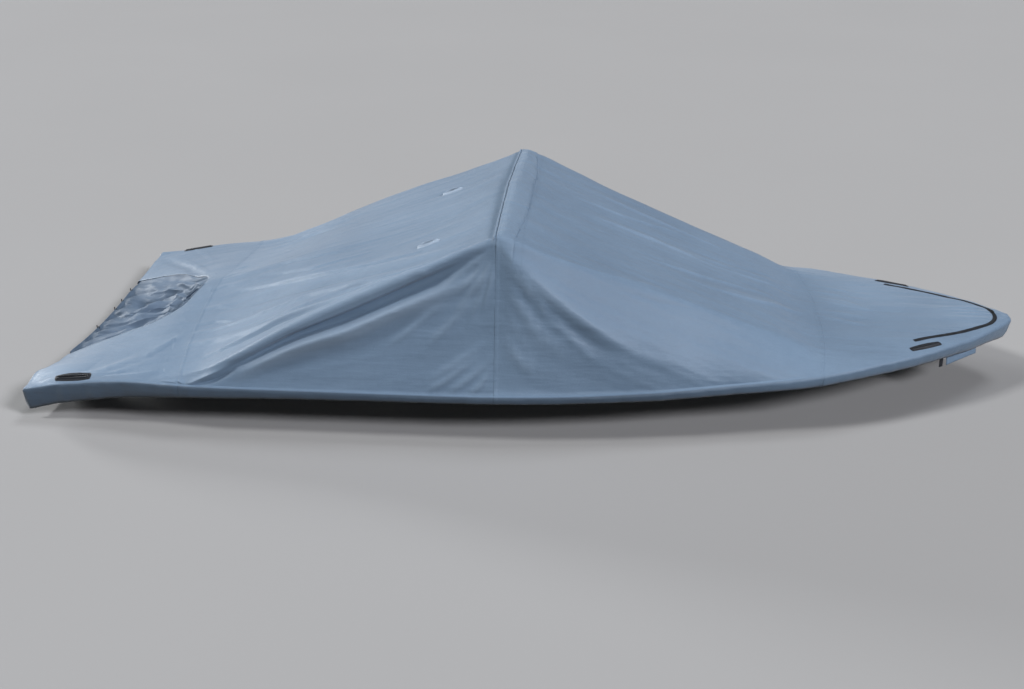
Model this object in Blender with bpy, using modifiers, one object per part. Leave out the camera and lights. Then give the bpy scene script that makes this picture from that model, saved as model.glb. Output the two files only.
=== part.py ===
"""A fitted boat cover: stretched cloth panels over an open motorboat about 5 m long.

Lengths are in metres. While the cloth is laid out, x runs forward from the transom,
y to the far side and z up from the hem corner at the stern. Each mesh is then moved so
that the origin lies on the mount under the middle of the ridge.
"""

import math

import bmesh
import bpy
import numpy as np
from mathutils import Matrix, Vector
from mathutils.bvhtree import BVHTree

# ---------------------------------------------------------------- driving sizes
LENGTH = 4.99           # transom to bow tip
RIDGE_X = 2.34          # the ridge across the boat
MOUNT_Z = 0.80          # the mount, just under the ridge cloth
SHEET = 0.0025          # thickness of the cloth with its hems and seams
GAP = 0.0003            # clearance between sewn pieces
SEAM_GAP = 0.0012       # clearance along the curved seams
RIDGE_GAP = 0.0026      # clearance at the ridge, whose two slopes lean together
SHOULDER = 0.018        # the rim's roll, from the last flat line to its outer edge
SHOULDER_RISE = 0.004   # the last flat line lies this much above the rim line

# One row for each cross-section of the cover. beam is half the width, rim the height of
# the fold over the gunwale, crest the top line of the hip, low the line where the hip
# ends and the side begins, crown the middle line, and drop the height of the hem skirt.
COLUMNS = ("x", "beam", "rim", "crest_y", "crest_z", "low_y", "low_z", "crown", "drop")
SECTIONS = (
    (0.00, 1.000, 0.002, 0.800, -0.008, 0.930, -0.004, -0.080, 0.118),
    (0.03, 0.998, 0.006, 0.810, 0.002, 0.935, 0.004, -0.060, 0.116),
    (0.20, 0.994, 0.031, 0.880, 0.046, 0.945, 0.042, 0.044, 0.108),
    (0.45, 1.006, 0.068, 0.920, 0.088, 0.965, 0.080, 0.146, 0.096),
    (0.61, 1.024, 0.080, 0.940, 0.106, 0.985, 0.094, 0.210, 0.086),
    (0.72, 1.040, 0.083, 0.960, 0.116, 1.003, 0.102, 0.232, 0.078),
    (0.86, 1.050, 0.083, 0.990, 0.138, 1.018, 0.114, 0.272, 0.068),
    (1.00, 1.052, 0.082, 1.000, 0.190, 1.008, 0.152, 0.318, 0.062),
    (1.35, 1.047, 0.080, 0.955, 0.372, 0.936, 0.320, 0.440, 0.052),
    (1.70, 1.045, 0.080, 0.886, 0.526, 0.868, 0.474, 0.540, 0.047),
    (2.00, 1.043, 0.080, 0.836, 0.650, 0.816, 0.592, 0.645, 0.045),
    (2.26, 1.038, 0.080, 0.787, 0.762, 0.790, 0.706, 0.772, 0.044),
    (2.34, 1.034, 0.080, 0.778, 0.800, 0.800, 0.740, 0.820, 0.044),
    (2.43, 1.028, 0.080, 0.774, 0.776, 0.838, 0.690, 0.792, 0.044),
    (2.60, 1.012, 0.080, 0.762, 0.700, 0.872, 0.560, 0.706, 0.044),
    (2.85, 0.978, 0.082, 0.705, 0.602, 0.893, 0.385, 0.600, 0.046),
    (3.10, 0.934, 0.087, 0.665, 0.506, 0.888, 0.256, 0.502, 0.050),
    (3.40, 0.872, 0.099, 0.628, 0.390, 0.850, 0.154, 0.388, 0.054),
    (3.70, 0.812, 0.115, 0.592, 0.272, 0.786, 0.141, 0.274, 0.060),
    (3.95, 0.744, 0.131, 0.545, 0.176, 0.715, 0.142, 0.180, 0.066),
    (4.20, 0.634, 0.142, 0.450, 0.168, 0.598, 0.151, 0.176, 0.070),
    (4.50, 0.470, 0.153, 0.330, 0.174, 0.438, 0.161, 0.181, 0.074),
    (4.80, 0.243, 0.159, 0.160, 0.173, 0.212, 0.165, 0.176, 0.088),
    (4.90, 0.146, 0.160, 0.095, 0.169, 0.120, 0.165, 0.170, 0.098),
    (5.00, 0.030, 0.158, 0.006, 0.163, 0.009, 0.162, 0.164, 0.120),
)

# Section places: 0 is the middle line, CREST the hip's top, LOW its foot, 1 the shoulder.
CREST = 0.5
LOW = 0.6

# Seams across the cover: x at the near rim, in the middle and at the far rim.
AFT_SEAM = (0.810, 0.700, 0.660)
RIDGE_SEAM = (2.340, 2.324, 2.348)
BOW_SEAM = (3.920, 3.985, 3.920)
TIP_ROUND = 0.015       # the deck's front edge bows forward this much at the tip
BOW_TIP = (LENGTH - 0.004, LENGTH - 0.004 + TIP_ROUND, LENGTH - 0.004)

# Main folds: a start, a middle and an end, each a station and a place in the section
# (near side negative), then the width and the height. A trough has a negative height.
FOLDS = (
    # x0    v0     x1    v1     x2    v2     width  height
    (2.24, -0.665, 1.62, -0.715, 1.12, -0.770, 0.090, 0.034),
    (2.28, -0.600, 1.60, -0.632, 1.02, -0.648, 0.075, -0.022),
    (2.29, -0.640, 2.23, -0.690, 2.16, -0.740, 0.028, 0.009),
    (2.30, -0.660, 2.26, -0.720, 2.21, -0.790, 0.026, 0.007),
    (2.27, -0.860, 2.15, -0.905, 2.02, -0.955, 0.040, 0.009),
    (1.60, -0.455, 1.18, -0.395, 0.76, -0.360, 0.060, 0.012),
    (2.24, -0.460, 1.60, -0.270, 1.00, -0.125, 0.070, 0.010),
    (1.50, 0.360, 1.12, 0.350, 0.80, 0.335, 0.060, 0.011),
    (2.38, -0.615, 2.68, -0.620, 3.04, -0.640, 0.110, 0.010),
    (2.39, -0.680, 2.46, -0.730, 2.56, -0.800, 0.045, 0.009),
    (2.38, -0.850, 2.45, -0.885, 2.53, -0.930, 0.042, 0.009),
    (2.24, 0.640, 1.70, 0.690, 1.02, 0.870, 0.062, 0.020),
    (2.28, 0.700, 2.05, 0.780, 1.80, 0.860, 0.050, 0.010),
    (2.42, 0.640, 2.62, 0.700, 2.90, 0.800, 0.052, 0.015),
    (2.38, 0.740, 2.50, 0.820, 2.62, 0.910, 0.045, 0.009),
    (3.25, -0.250, 3.62, -0.170, 3.92, -0.080, 0.060, 0.007),
    (2.85, 0.080, 3.30, 0.070, 3.90, 0.200, 0.055, 0.006),
    (0.62, 0.030, 0.33, 0.290, 0.04, 0.540, 0.050, -0.018),
    (0.66, -0.330, 0.36, -0.560, 0.12, -0.700, 0.060, 0.006),
    (-0.10, -0.500, 0.08, -0.500, 0.30, -0.480, 0.240, 0.034),
)

# The well pocket's edges on the deck: a station and the edge's y on each side.
POCKET_EDGE = (
    # x     near   far
    (0.000, 0.480, 0.560),
    (0.200, 0.455, 0.470),
    (0.350, 0.410, 0.385),
    (0.450, 0.365, 0.300),
    (0.545, 0.295, 0.200),
    (0.590, 0.215, 0.120),
    (0.608, 0.130, 0.070),
)
POCKET_APEX = 0.622
POCKET_GAP = 0.0036      # the pocket's steep edge stands clear of the deck's thickness
POCKET_DIP = 0.072      # how far the pocket hangs below its edges
HEM_SAG = 0.034         # and how far its gathered hem does
GATHERS = 7             # main folds drawn in by the cord
GATHER_SKEW = (0.9, 5.0)   # the gathers are uneven: the shift's size and its pace
GATHER_DEPTH = 0.013
GATHER_FADE = 0.7        # how fast they die out towards the apex
EDGE_FADE = 0.6          # and the pocket's sag towards its sewn edges
DIP_LEAN = 0.8           # its deepest place lies aft of the middle

# Stations of the panels, as shares of the way from one seam to the next.
AFT_SHARES = (0.0, 0.06, 0.12, 0.19, 0.26, 0.33, 0.40, 0.47, 0.54, 0.61, 0.68, 0.75, 0.82,
              0.88, 0.93, 0.97, 0.99, 1.0)
FRONT_SHARES = (0.0, 0.013, 0.030, 0.053, 0.080, 0.13, 0.19, 0.25, 0.31, 0.375, 0.44, 0.51,
                0.58, 0.65, 0.73, 0.82, 0.91, 1.0)
BOW_SHARES = (0.0, 0.10, 0.20, 0.31, 0.42, 0.53, 0.64, 0.74, 0.83, 0.90, 0.96, 1.0)
STERN_STATIONS = (0.0, 0.03, 0.10, 0.20, 0.29, 0.37, 0.45, 0.51, 0.555, 0.59, 0.608, 0.622, 0.700)

# Lines along the cover, as places in the section from the middle to one shoulder.
LINES = (0.0, 0.10, 0.20, 0.29, 0.37, 0.44, 0.50, 0.533, 0.566, 0.60, 0.633, 0.666,
         0.70, 0.75, 0.81, 0.87, 0.93, 1.0)
# The hem skirt below the shoulder: outward step, fixed fall and share of the drop.
SKIRT = (
    (0.0130, 0.004, 0.0),
    (0.0180, 0.016, 0.0),
    (0.0170, 0.010, 0.5),
    (0.0060, 0.000, 1.0),
)
END_TUCK = 0.035        # the hem runs in under the transom and the bow tip

# Bound slots: x, |y| and heading in degrees, then the ring's and the slot's length and width.
CLEAT_AFT = (0.245, 0.954, 2.0)
CLEAT_FORE = (4.470, 0.432, -28.0)
CLEAT_RING = (0.200, 0.038, 0.156, 0.014)
VENT = (1.960, 0.452, 0.0)
VENT_RING = (0.120, 0.030, 0.090, 0.008)
RING_STEPS = 20
RING_PROUD = 0.0012
RING_SIDE_GAP = 0.0005

BAND_STATIONS = 5       # the ridge band spans the first stations of the front panel
BAND_REACH = 0.634      # and ends at this place down each side
BAND_THICK = 0.0020
OVERLAY = 0.0008        # clearance under a piece sewn on top of a faceted panel

WELT_RADIUS = 0.006
WELT_CLEAR = 0.0016
WELT_REACH = 0.545

# The zip: points on the bow deck, mirrored to the far side.
ZIP_ROUTE = ((4.420, 0.390), (4.525, 0.336), (4.650, 0.272), (4.765, 0.205), (4.850, 0.142),
             (4.900, 0.078), (4.918, 0.000))
ZIP_WIDTH = 0.021
ZIP_THICK = 0.0025
ZIP_LIFT = 0.0018        # the zip's clearance over the faceted deck
SLIDER = (0.034, 0.016, 0.007)
SLIDER_AT = 0.53        # share of the zip's length

CORD_RADIUS = 0.003
CORD_CLEAR = 0.003      # between the cord and the deepest gather
CORD_RISE = 0.032       # the cord stays this near to the hem's lowest point
CORD_SMOOTHING = 30
HOOK_RADIUS = 0.0028
HOOK_PLACES = (0.40, 0.68, 0.80, 0.95)  # shares of the gathered hem, from the near end
HOOK_SHANK = 0.016
HOOK_TURN = 1.5         # half turns round the cord
HOOK_STEPS = 8

# Strips that hang under the bow: the line of the upper edge, in plan, then its height
# at the start, its rise to the end, the strip's fall, the lean outward and the thickness.
FLAP_START = (4.628, -0.268)
FLAP_END = (4.806, -0.146)
FLAP_SIZES = (0.040, 0.020, 0.046, 0.018, SHEET)
STRAP_START = (4.590, -0.285)
STRAP_END = (4.611, -0.271)
STRAP_SIZES = (0.066, 0.000, 0.080, 0.012, 0.0020)
HEM_BEHIND = 0.008      # how far behind the hem's face a strip is sewn
HEM_LAP = 0.45          # and how far up it, as a share of the skirt's lower half

MERGE = 0.00005         # points this near are one
CUTTER_MERGE = 0.00002
CUTTER_DEPTH = 0.03     # how far a slot's cutter runs each way
SMALL = 0.002           # step for a slope of the surface
SLOPE_LIMITS = (0.02, 0.98)
LOOK_FROM = 3.0         # heights from which a panel is looked for
LOOK_FROM_NEAR = 0.2
WELT_LEAN = 0.7
PLACE_STEPS = 201
ZIP_POINTS = 49
SLIDER_EDGE = 0.2       # the slider's rounded edge, as a share of its smallest side

COLOURS = {
    # name: (linear colour, roughness, metallic)
    "coated_cloth": ((0.190, 0.262, 0.355), 0.62, 0.0),
    "pocket_cloth": ((0.230, 0.300, 0.400), 0.42, 0.0),
    "dark_trim": ((0.012, 0.013, 0.016), 0.50, 0.0),
    "dark_plastic": ((0.014, 0.015, 0.017), 0.35, 0.0),
}


# ---------------------------------------------------------------- the cloth's shape
def monotone(table_x, table_y, x):
    """Smooth curve through a table, without overshoot."""
    steps = np.diff(table_x)
    slopes = np.diff(table_y) / steps
    tangents = np.zeros(len(table_x))
    tangents[0] = slopes[0]
    tangents[-1] = slopes[-1]
    for i in range(1, len(table_x) - 1):
        if slopes[i - 1] * slopes[i] > 0.0:
            before = 2.0 * steps[i] + steps[i - 1]
            after = steps[i] + 2.0 * steps[i - 1]
            tangents[i] = (before + after) / (before / slopes[i - 1] + after / slopes[i])
    x = np.clip(x, table_x[0], table_x[-1])
    i = np.clip(np.searchsorted(table_x, x, side="right") - 1, 0, len(steps) - 1)
    t = (x - table_x[i]) / steps[i]
    first = (1.0 + 2.0 * t) * (1.0 - t) ** 2 * table_y[i] + t ** 2 * (3.0 - 2.0 * t) * table_y[i + 1]
    second = t * (1.0 - t) ** 2 * tangents[i] - t ** 2 * (1.0 - t) * tangents[i + 1]
    return first + second * steps[i]


def column(name, x):
    """A column of SECTIONS at the stations x."""
    table = np.array(SECTIONS)
    return monotone(table[:, 0], table[:, COLUMNS.index(name)], x)


def section(x, v):
    """The section point at station x and place v: y, z and the length along the cloth."""
    v = np.asarray(v, float)
    x = np.broadcast_to(np.asarray(x, float), v.shape)
    place = np.abs(v)
    knots_y = (np.zeros(x.shape), column("crest_y", x), column("low_y", x),
               column("beam", x) - SHOULDER)
    knots_z = (column("crown", x), column("crest_z", x), column("low_z", x),
               column("rim", x) + SHOULDER_RISE)
    starts = (0.0, CREST, LOW, 1.0)
    y = np.zeros(x.shape)
    z = np.zeros(x.shape)
    reach = np.zeros(x.shape)
    run = np.zeros(x.shape)
    for k in range(3):
        share = np.clip((place - starts[k]) / (starts[k + 1] - starts[k]), 0.0, 1.0)
        inside = (place >= starts[k]) if k else (place >= 0.0)
        length = np.hypot(knots_y[k + 1] - knots_y[k], knots_z[k + 1] - knots_z[k])
        y = np.where(inside, knots_y[k] + share * (knots_y[k + 1] - knots_y[k]), y)
        z = np.where(inside, knots_z[k] + share * (knots_z[k + 1] - knots_z[k]), z)
        reach = np.where(inside, run + share * length, reach)
        run = run + length
    side = np.where(v < 0.0, -1.0, 1.0)
    return y * side, z, reach * side


def fold_height(x, v):
    """How far the main folds lift the cloth at station x and place v."""
    reach = section(x, v)[2]
    height = np.zeros(x.shape)
    for x0, v0, x1, v1, x2, v2, width, rise in FOLDS:
        stations = np.array((x0, x1, x2))
        places = section(stations, np.array((v0, v1, v2)))[2]
        best = np.full(x.shape, 9.0)
        along = np.zeros(x.shape)
        for k in range(2):
            dx = stations[k + 1] - stations[k]
            ds = places[k + 1] - places[k]
            t = ((x - stations[k]) * dx + (reach - places[k]) * ds) / (dx * dx + ds * ds)
            t = np.clip(t, 0.0, 1.0)
            distance = np.hypot(x - stations[k] - t * dx, reach - places[k] - t * ds)
            along = np.where(distance < best, (k + t) / 2.0, along)
            best = np.minimum(best, distance)
        taper = np.sin(math.pi * np.clip(0.08 + 0.84 * along, 0.0, 1.0))
        height += rise * taper * np.exp(-((best / (0.5 * width)) ** 2))
    return height


def surface(x, v):
    """Points of the outer face at stations x and places v, as a grid of vectors."""
    y, z, _ = section(x, v)
    points = np.stack((x, y, z), -1)
    ahead = section(x + SMALL, v)
    along = np.stack((np.full(x.shape, SMALL), ahead[0] - y, ahead[1] - z), -1)
    place = np.clip(np.abs(v), *SLOPE_LIMITS) * np.where(v < 0.0, -1.0, 1.0)
    upper = section(x, place + SMALL)
    lower = section(x, place - SMALL)
    across = np.stack((np.zeros(x.shape), upper[0] - lower[0], upper[1] - lower[1]), -1)
    normal = np.cross(along, across)
    normal /= np.linalg.norm(normal, axis=-1, keepdims=True)
    return points + normal * fold_height(x, v)[..., None], normal


def seam(ends, v):
    """x of a seam at the places v: an arc from its middle to each rim."""
    near, middle, far = ends
    end = np.where(v < 0.0, near, far)
    width = section(np.full(v.shape, middle), v)[0] / column("beam", np.array([middle]))
    return middle + (end - middle) * width ** 2


def signed_lines(lines):
    """Places from the near shoulder to the far one."""
    return np.array([-v for v in lines[:0:-1]] + list(lines))


# ---------------------------------------------------------------- meshes
def moved(point):
    """A laid-out point in the part's own frame."""
    return Vector((point[0] - RIDGE_X, point[1], point[2] - MOUNT_Z))


def material(name):
    """One Principled material for each entry of COLOURS."""
    found = bpy.data.materials.get(name)
    if found:
        return found
    colour, roughness, metallic = COLOURS[name]
    made = bpy.data.materials.new(name)
    made.use_nodes = True
    shader = made.node_tree.nodes["Principled BSDF"]
    shader.inputs["Base Color"].default_value = (*colour, 1.0)
    shader.inputs["Roughness"].default_value = roughness
    shader.inputs["Metallic"].default_value = metallic
    made.diffuse_color = (*colour, 1.0)
    return made


def add_grid(mesh, points):
    """Faces over a grid of laid-out points, rows by columns."""
    rows, columns = points.shape[:2]
    verts = [[mesh.verts.new(moved(points[i, j])) for j in range(columns)] for i in range(rows)]
    for i in range(rows - 1):
        for j in range(columns - 1):
            mesh.faces.new((verts[i][j], verts[i + 1][j], verts[i + 1][j + 1], verts[i][j + 1]))


def sheet_object(name, grids, colour, collection, thickness=SHEET, outward=False):
    """A cloth sheet: grids welded into one open surface, then given its thickness."""
    mesh = bmesh.new()
    for points in grids:
        add_grid(mesh, points)
    bmesh.ops.remove_doubles(mesh, verts=mesh.verts, dist=MERGE)
    bmesh.ops.recalc_face_normals(mesh, faces=mesh.faces)
    middle = max(mesh.faces, key=lambda face: face.calc_center_median().z)
    if middle.normal.z < 0.0:
        bmesh.ops.reverse_faces(mesh, faces=mesh.faces)
    data = bpy.data.meshes.new(name)
    mesh.to_mesh(data)
    mesh.free()
    data.shade_smooth()
    thing = bpy.data.objects.new(name, data)
    collection.objects.link(thing)
    data.materials.append(material(colour))
    solid = thing.modifiers.new("thickness", "SOLIDIFY")
    solid.thickness = thickness
    solid.offset = 1.0 if outward else -1.0
    return thing


def skirt_grid(chain, seam_ends=(0, -1)):
    """The rim and hem skirt below a chain of shoulder points, square to it at a seam."""
    chain = np.asarray(chain)
    tangent = np.gradient(chain[:, :2], axis=0)
    outward = np.stack((tangent[:, 1], -tangent[:, 0]), -1)
    outward /= np.linalg.norm(outward, axis=1, keepdims=True)
    inner = np.array((RIDGE_X, 0.0))
    if np.sum((chain[len(chain) // 2, :2] - inner) * outward[len(chain) // 2]) < 0.0:
        outward = -outward
    for end in seam_ends:
        outward[end] = (0.0, math.copysign(1.0, chain[end, 1]))
    drop = column("drop", chain[:, 0])
    ends = np.abs(outward[:, 0]) ** 2
    rows = [chain]
    for step, fall, share in SKIRT:
        row = chain.copy()
        tuck = END_TUCK * ends * share
        row[:, :2] += outward * (step - tuck)[:, None]
        row[:, 2] -= fall + share * drop
        rows.append(row)
    return np.stack(rows, 0)


def panel_grid(start, end, shares, gaps):
    """Stations and places of a panel's face between two seams, shoulder to shoulder."""
    v = signed_lines(LINES)
    first = seam(start, v) + 0.5 * gaps[0]
    last = seam(end, v) - 0.5 * gaps[1]
    shares = np.asarray(shares)[:, None]
    x = first[None, :] + shares * (last - first)[None, :]
    places = np.broadcast_to(v[None, :], x.shape)
    return x, places


def body_panel(name, start, end, shares, collection, gaps):
    """A panel that spans the cover from hem to hem."""
    x, v = panel_grid(start, end, shares, gaps)
    points = surface(x, v)[0]
    grids = [points, skirt_grid(points[:, 0]), skirt_grid(points[:, -1])]
    return sheet_object(name, grids, "coated_cloth", collection)


def bow_points():
    """The bow deck's face."""
    x, v = panel_grid(BOW_SEAM, BOW_TIP, BOW_SHARES, (SEAM_GAP, 2.0 * TIP_ROUND))
    return surface(x, v)[0]


def bow_skirt():
    """The bow's rim and skirt, from the near seam round the tip to the far seam."""
    points = bow_points()
    return skirt_grid(np.concatenate((points[:, 0], points[-1, 1:-1], points[::-1, -1])))


def bow_panel(collection):
    """The bow deck, whose skirt runs round the tip."""
    return sheet_object("bow_panel", [bow_points(), bow_skirt()], "coated_cloth", collection)


def pocket_edge_place(station, side):
    """The place in the section where the pocket's edge crosses a station."""
    table = np.array(POCKET_EDGE)
    if station >= POCKET_APEX:
        return 0.0
    width = monotone(table[:, 0], table[:, 1 if side < 0 else 2], np.array([station]))[0]
    places = np.linspace(0.0, 1.0, PLACE_STEPS)
    widths = section(np.full(PLACE_STEPS, station), places)[0]
    return float(np.interp(width, widths, places))


def wing_points(side):
    """The deck on one side of the pocket: stations by lines, pocket edge to shoulder."""
    stations = np.array(STERN_STATIONS)
    seam_x = seam(AFT_SEAM, np.linspace(-1.0, 1.0, 3))
    inner = np.array([pocket_edge_place(s, side) for s in stations])
    lines = np.array(LINES)
    v = (inner[:, None] + (1.0 - inner[:, None]) * lines[None, :]) * side
    reach = (seam(AFT_SEAM, v) - 0.5 * SEAM_GAP) / seam_x[1]
    x = stations[:, None] * reach
    return surface(x, v)[0]


def stern_panel(collection):
    """The after deck: two wings joined ahead of the pocket, with rim and transom skirt."""
    grids = []
    for side in (-1.0, 1.0):
        points = wing_points(side)
        chain = np.concatenate((points[::-1, -1], points[0, -2::-1]))
        grids += [points, skirt_grid(chain, (0,))]
    return sheet_object("stern_panel", grids, "coated_cloth", collection)


def pocket_rim():
    """The pocket's sewn edge, just inside the deck's: near side, apex and far side."""
    last = STERN_STATIONS.index(POCKET_APEX)
    near = wing_points(-1.0)[:last + 1, 0]
    far = wing_points(1.0)[:last, 0]
    edge = np.concatenate((near, far[::-1]))
    tangent = np.gradient(edge[:, :2], axis=0)
    inward = np.stack((-tangent[:, 1], tangent[:, 0]), -1)
    inward /= np.linalg.norm(inward, axis=1, keepdims=True)
    edge[:, :2] += inward * POCKET_GAP
    return edge[:last], edge[last], edge[:last:-1]


def gather_wave(w):
    """The gathers across the pocket, from -1 to 1, at the share w of its width."""
    shift, pace = GATHER_SKEW
    return math.sin(2.0 * math.pi * GATHERS * w + shift * math.sin(pace * w))


def pocket_points():
    """The gathered pocket between the wings, transom hem to apex."""
    near, apex, far = pocket_rim()
    rows = []
    for i in range(len(near)):
        forward = i / (len(near) - 1.0)
        middle = apex if forward == 1.0 else 0.5 * (near[i] + far[i])
        hang = HEM_SAG * (1.0 - forward) + POCKET_DIP * math.sin(math.pi * forward ** DIP_LEAN)
        draw = GATHER_DEPTH * (1.0 - forward) ** GATHER_FADE
        row = []
        for w in np.linspace(0.0, 1.0, 4 * GATHERS + 1):
            if w < 0.5:
                point = near[i] + (middle - near[i]) * 2.0 * w
            else:
                point = middle + (far[i] - middle) * (2.0 * w - 1.0)
            fade = abs(math.sin(math.pi * w)) ** EDGE_FADE
            wave = gather_wave(w)
            point[2] -= fade * (hang - draw * wave)
            point[0] += fade * 0.5 * draw * wave
            row.append(point)
        rows.append(row)
    return np.array(rows)


def well_pocket(collection):
    """The thin gathered pocket."""
    return sheet_object("well_pocket", [pocket_points()], "pocket_cloth", collection)


def ridge_band(collection):
    """The strip over the front of the ridge, an even step above the front panel."""
    x, v = panel_grid(RIDGE_SEAM, BOW_SEAM, FRONT_SHARES, (RIDGE_GAP, SEAM_GAP))
    keep = np.abs(v[0]) <= BAND_REACH
    x = x[:BAND_STATIONS, keep]
    v = v[:BAND_STATIONS, keep]
    points, normal = surface(x, v)
    points = points + normal * OVERLAY
    return sheet_object("ridge_band", [points], "coated_cloth", collection, BAND_THICK, True)


def tube(name, points, radius, colour, collection, sides=2):
    """A round cord through points in the part's frame, with closed ends."""
    curve = bpy.data.curves.new(name, "CURVE")
    curve.dimensions = "3D"
    curve.bevel_depth = radius
    curve.bevel_resolution = sides
    curve.use_fill_caps = True
    spline = curve.splines.new("POLY")
    spline.points.add(len(points) - 1)
    for spot, point in zip(spline.points, points):
        spot.co = (*point, 1.0)
    curve.materials.append(material(colour))
    thing = bpy.data.objects.new(name, curve)
    collection.objects.link(thing)
    return thing


def ridge_welt(panel, collection):
    """The raised seam along the back of the ridge band."""
    finder = face_finder(panel)
    lines = signed_lines(LINES)
    lines = lines[np.abs(lines) <= WELT_REACH]
    x = seam(RIDGE_SEAM, lines) - WELT_RADIUS - RIDGE_GAP
    path = []
    for point, normal in zip(*surface(x, lines)):
        foot, face_normal, _, _ = finder.find_nearest(moved(point))
        lean = max(abs(face_normal.dot(Vector(normal))), WELT_LEAN)
        path.append(foot + Vector(normal) * ((WELT_RADIUS + WELT_CLEAR) / lean))
    return tube("ridge_welt", path, WELT_RADIUS, "coated_cloth", collection)


# ---------------------------------------------------------------- pieces set on a panel
def face_finder(panel):
    """A tree of a panel's outer face, in the part's own frame."""
    mesh = panel.data
    corners = [vertex.co.copy() for vertex in mesh.vertices]
    return BVHTree.FromPolygons(corners, [tuple(face.vertices) for face in mesh.polygons])


def above(finder, x, y):
    """The panel's point and normal straight below (x, y)."""
    start = moved((x, y, LOOK_FROM))
    point, normal, _, _ = finder.ray_cast(start, Vector((0.0, 0.0, -1.0)))
    if normal.z < 0.0:
        normal = -normal
    return point, normal


def stadium(length, width, count):
    """A slot outline: straight sides with round ends."""
    radius = 0.5 * width
    half = 0.5 * length - radius
    points = []
    for k in range(count):
        angle = 2.0 * math.pi * (k + 0.5) / count
        shift = half if math.cos(angle) > 0.0 else -half
        points.append((shift + radius * math.cos(angle), radius * math.sin(angle)))
    return points


def set_matrix(finder, x, y, heading):
    """A frame on the panel: its x along the heading, its z along the panel's normal."""
    point, normal = above(finder, x, y)
    turn = math.radians(heading)
    run = Vector((math.cos(turn), math.sin(turn), 0.0))
    run = (run - normal * run.dot(normal)).normalized()
    side = normal.cross(run)
    matrix = Matrix((run, side, normal)).transposed().to_4x4()
    matrix.translation = point
    return matrix


def slot_cutter(name, matrix, length, width, cutters):
    """A prism through the panel, a little larger than the ring that fills it."""
    curve = bpy.data.curves.new(name, "CURVE")
    curve.dimensions = "2D"
    curve.fill_mode = "BOTH"
    curve.extrude = CUTTER_DEPTH
    outline = stadium(length + 2.0 * RING_SIDE_GAP, width + 2.0 * RING_SIDE_GAP, RING_STEPS)
    spline = curve.splines.new("POLY")
    spline.points.add(len(outline) - 1)
    for spot, (a, b) in zip(spline.points, outline):
        spot.co = (a, b, 0.0, 1.0)
    spline.use_cyclic_u = True
    source = bpy.data.objects.new(name + "_curve", curve)
    cutters.objects.link(source)
    depsgraph = bpy.context.evaluated_depsgraph_get()
    data = bpy.data.meshes.new_from_object(source.evaluated_get(depsgraph))
    bpy.data.objects.remove(source)
    mesh = bmesh.new()
    mesh.from_mesh(data)
    bmesh.ops.remove_doubles(mesh, verts=mesh.verts, dist=CUTTER_MERGE)
    bmesh.ops.recalc_face_normals(mesh, faces=mesh.faces)
    mesh.to_mesh(data)
    mesh.free()
    cutter = bpy.data.objects.new(name, data)
    cutter.matrix_world = matrix
    cutter.hide_render = True
    cutter.display_type = "WIRE"
    cutters.objects.link(cutter)
    return cutter


def ring_mesh(name, finder, matrix, sizes):
    """The ring's outer face: a flat band on the panel, between the two outlines."""
    length, width, slot_length, slot_width = sizes
    normal = matrix.to_3x3().col[2]
    mesh = bmesh.new()
    loops = []
    for outline in (stadium(length, width, RING_STEPS), stadium(slot_length, slot_width, RING_STEPS)):
        loop = []
        for a, b in outline:
            start = matrix @ Vector((a, b, LOOK_FROM_NEAR))
            point = finder.ray_cast(start, -normal)[0]
            loop.append(mesh.verts.new(point + normal * RING_PROUD))
        loops.append(loop)
    for k in range(RING_STEPS):
        j = (k + 1) % RING_STEPS
        mesh.faces.new((loops[0][k], loops[0][j], loops[1][j], loops[1][k]))
    data = bpy.data.meshes.new(name)
    mesh.to_mesh(data)
    mesh.free()
    return data


def slot_ring(name, panel, spot, sizes, colour, collection, cutters):
    """A bound slot set into a panel: the ring, and the panel's opening that holds it."""
    finder = face_finder(panel)
    matrix = set_matrix(finder, *spot)
    data = ring_mesh(name, finder, matrix, sizes)
    data.materials.append(material(colour))
    thing = bpy.data.objects.new(name, data)
    collection.objects.link(thing)
    solid = thing.modifiers.new("thickness", "SOLIDIFY")
    solid.thickness = SHEET + RING_PROUD
    solid.offset = -1.0
    cutter = slot_cutter(name + "_cutter", matrix, sizes[0], sizes[1], cutters)
    cut = panel.modifiers.new(name, "BOOLEAN")
    cut.operation = "DIFFERENCE"
    cut.object = cutter
    return thing


def zip_line(finder):
    """Points and side directions along the zip, near end to far end."""
    half = np.array(ZIP_ROUTE)
    route = np.concatenate((half * (1.0, -1.0), half[-2::-1]))
    steps = np.linspace(0.0, 1.0, len(route))
    fine = np.linspace(0.0, 1.0, ZIP_POINTS)
    x = catmull(steps, route[:, 0], fine)
    y = catmull(steps, route[:, 1], fine)
    rows = []
    tangent = np.stack((np.gradient(x), np.gradient(y)), -1)
    tangent /= np.linalg.norm(tangent, axis=1, keepdims=True)
    for k in range(len(fine)):
        rows.append(((x[k], y[k]), (-tangent[k, 1], tangent[k, 0])))
    return rows


def catmull(table_x, table_y, x):
    """A smooth curve through evenly spaced points."""
    step = table_x[1] - table_x[0]
    padded = np.concatenate(([2 * table_y[0] - table_y[1]], table_y, [2 * table_y[-1] - table_y[-2]]))
    i = np.clip(((x - table_x[0]) / step).astype(int), 0, len(table_x) - 2)
    t = (x - table_x[0]) / step - i
    p0, p1, p2, p3 = (padded[i + k] for k in range(4))
    return 0.5 * (2 * p1 + (p2 - p0) * t + (2 * p0 - 5 * p1 + 4 * p2 - p3) * t ** 2
                  + (3 * p1 - p0 - 3 * p2 + p3) * t ** 3)


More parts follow.
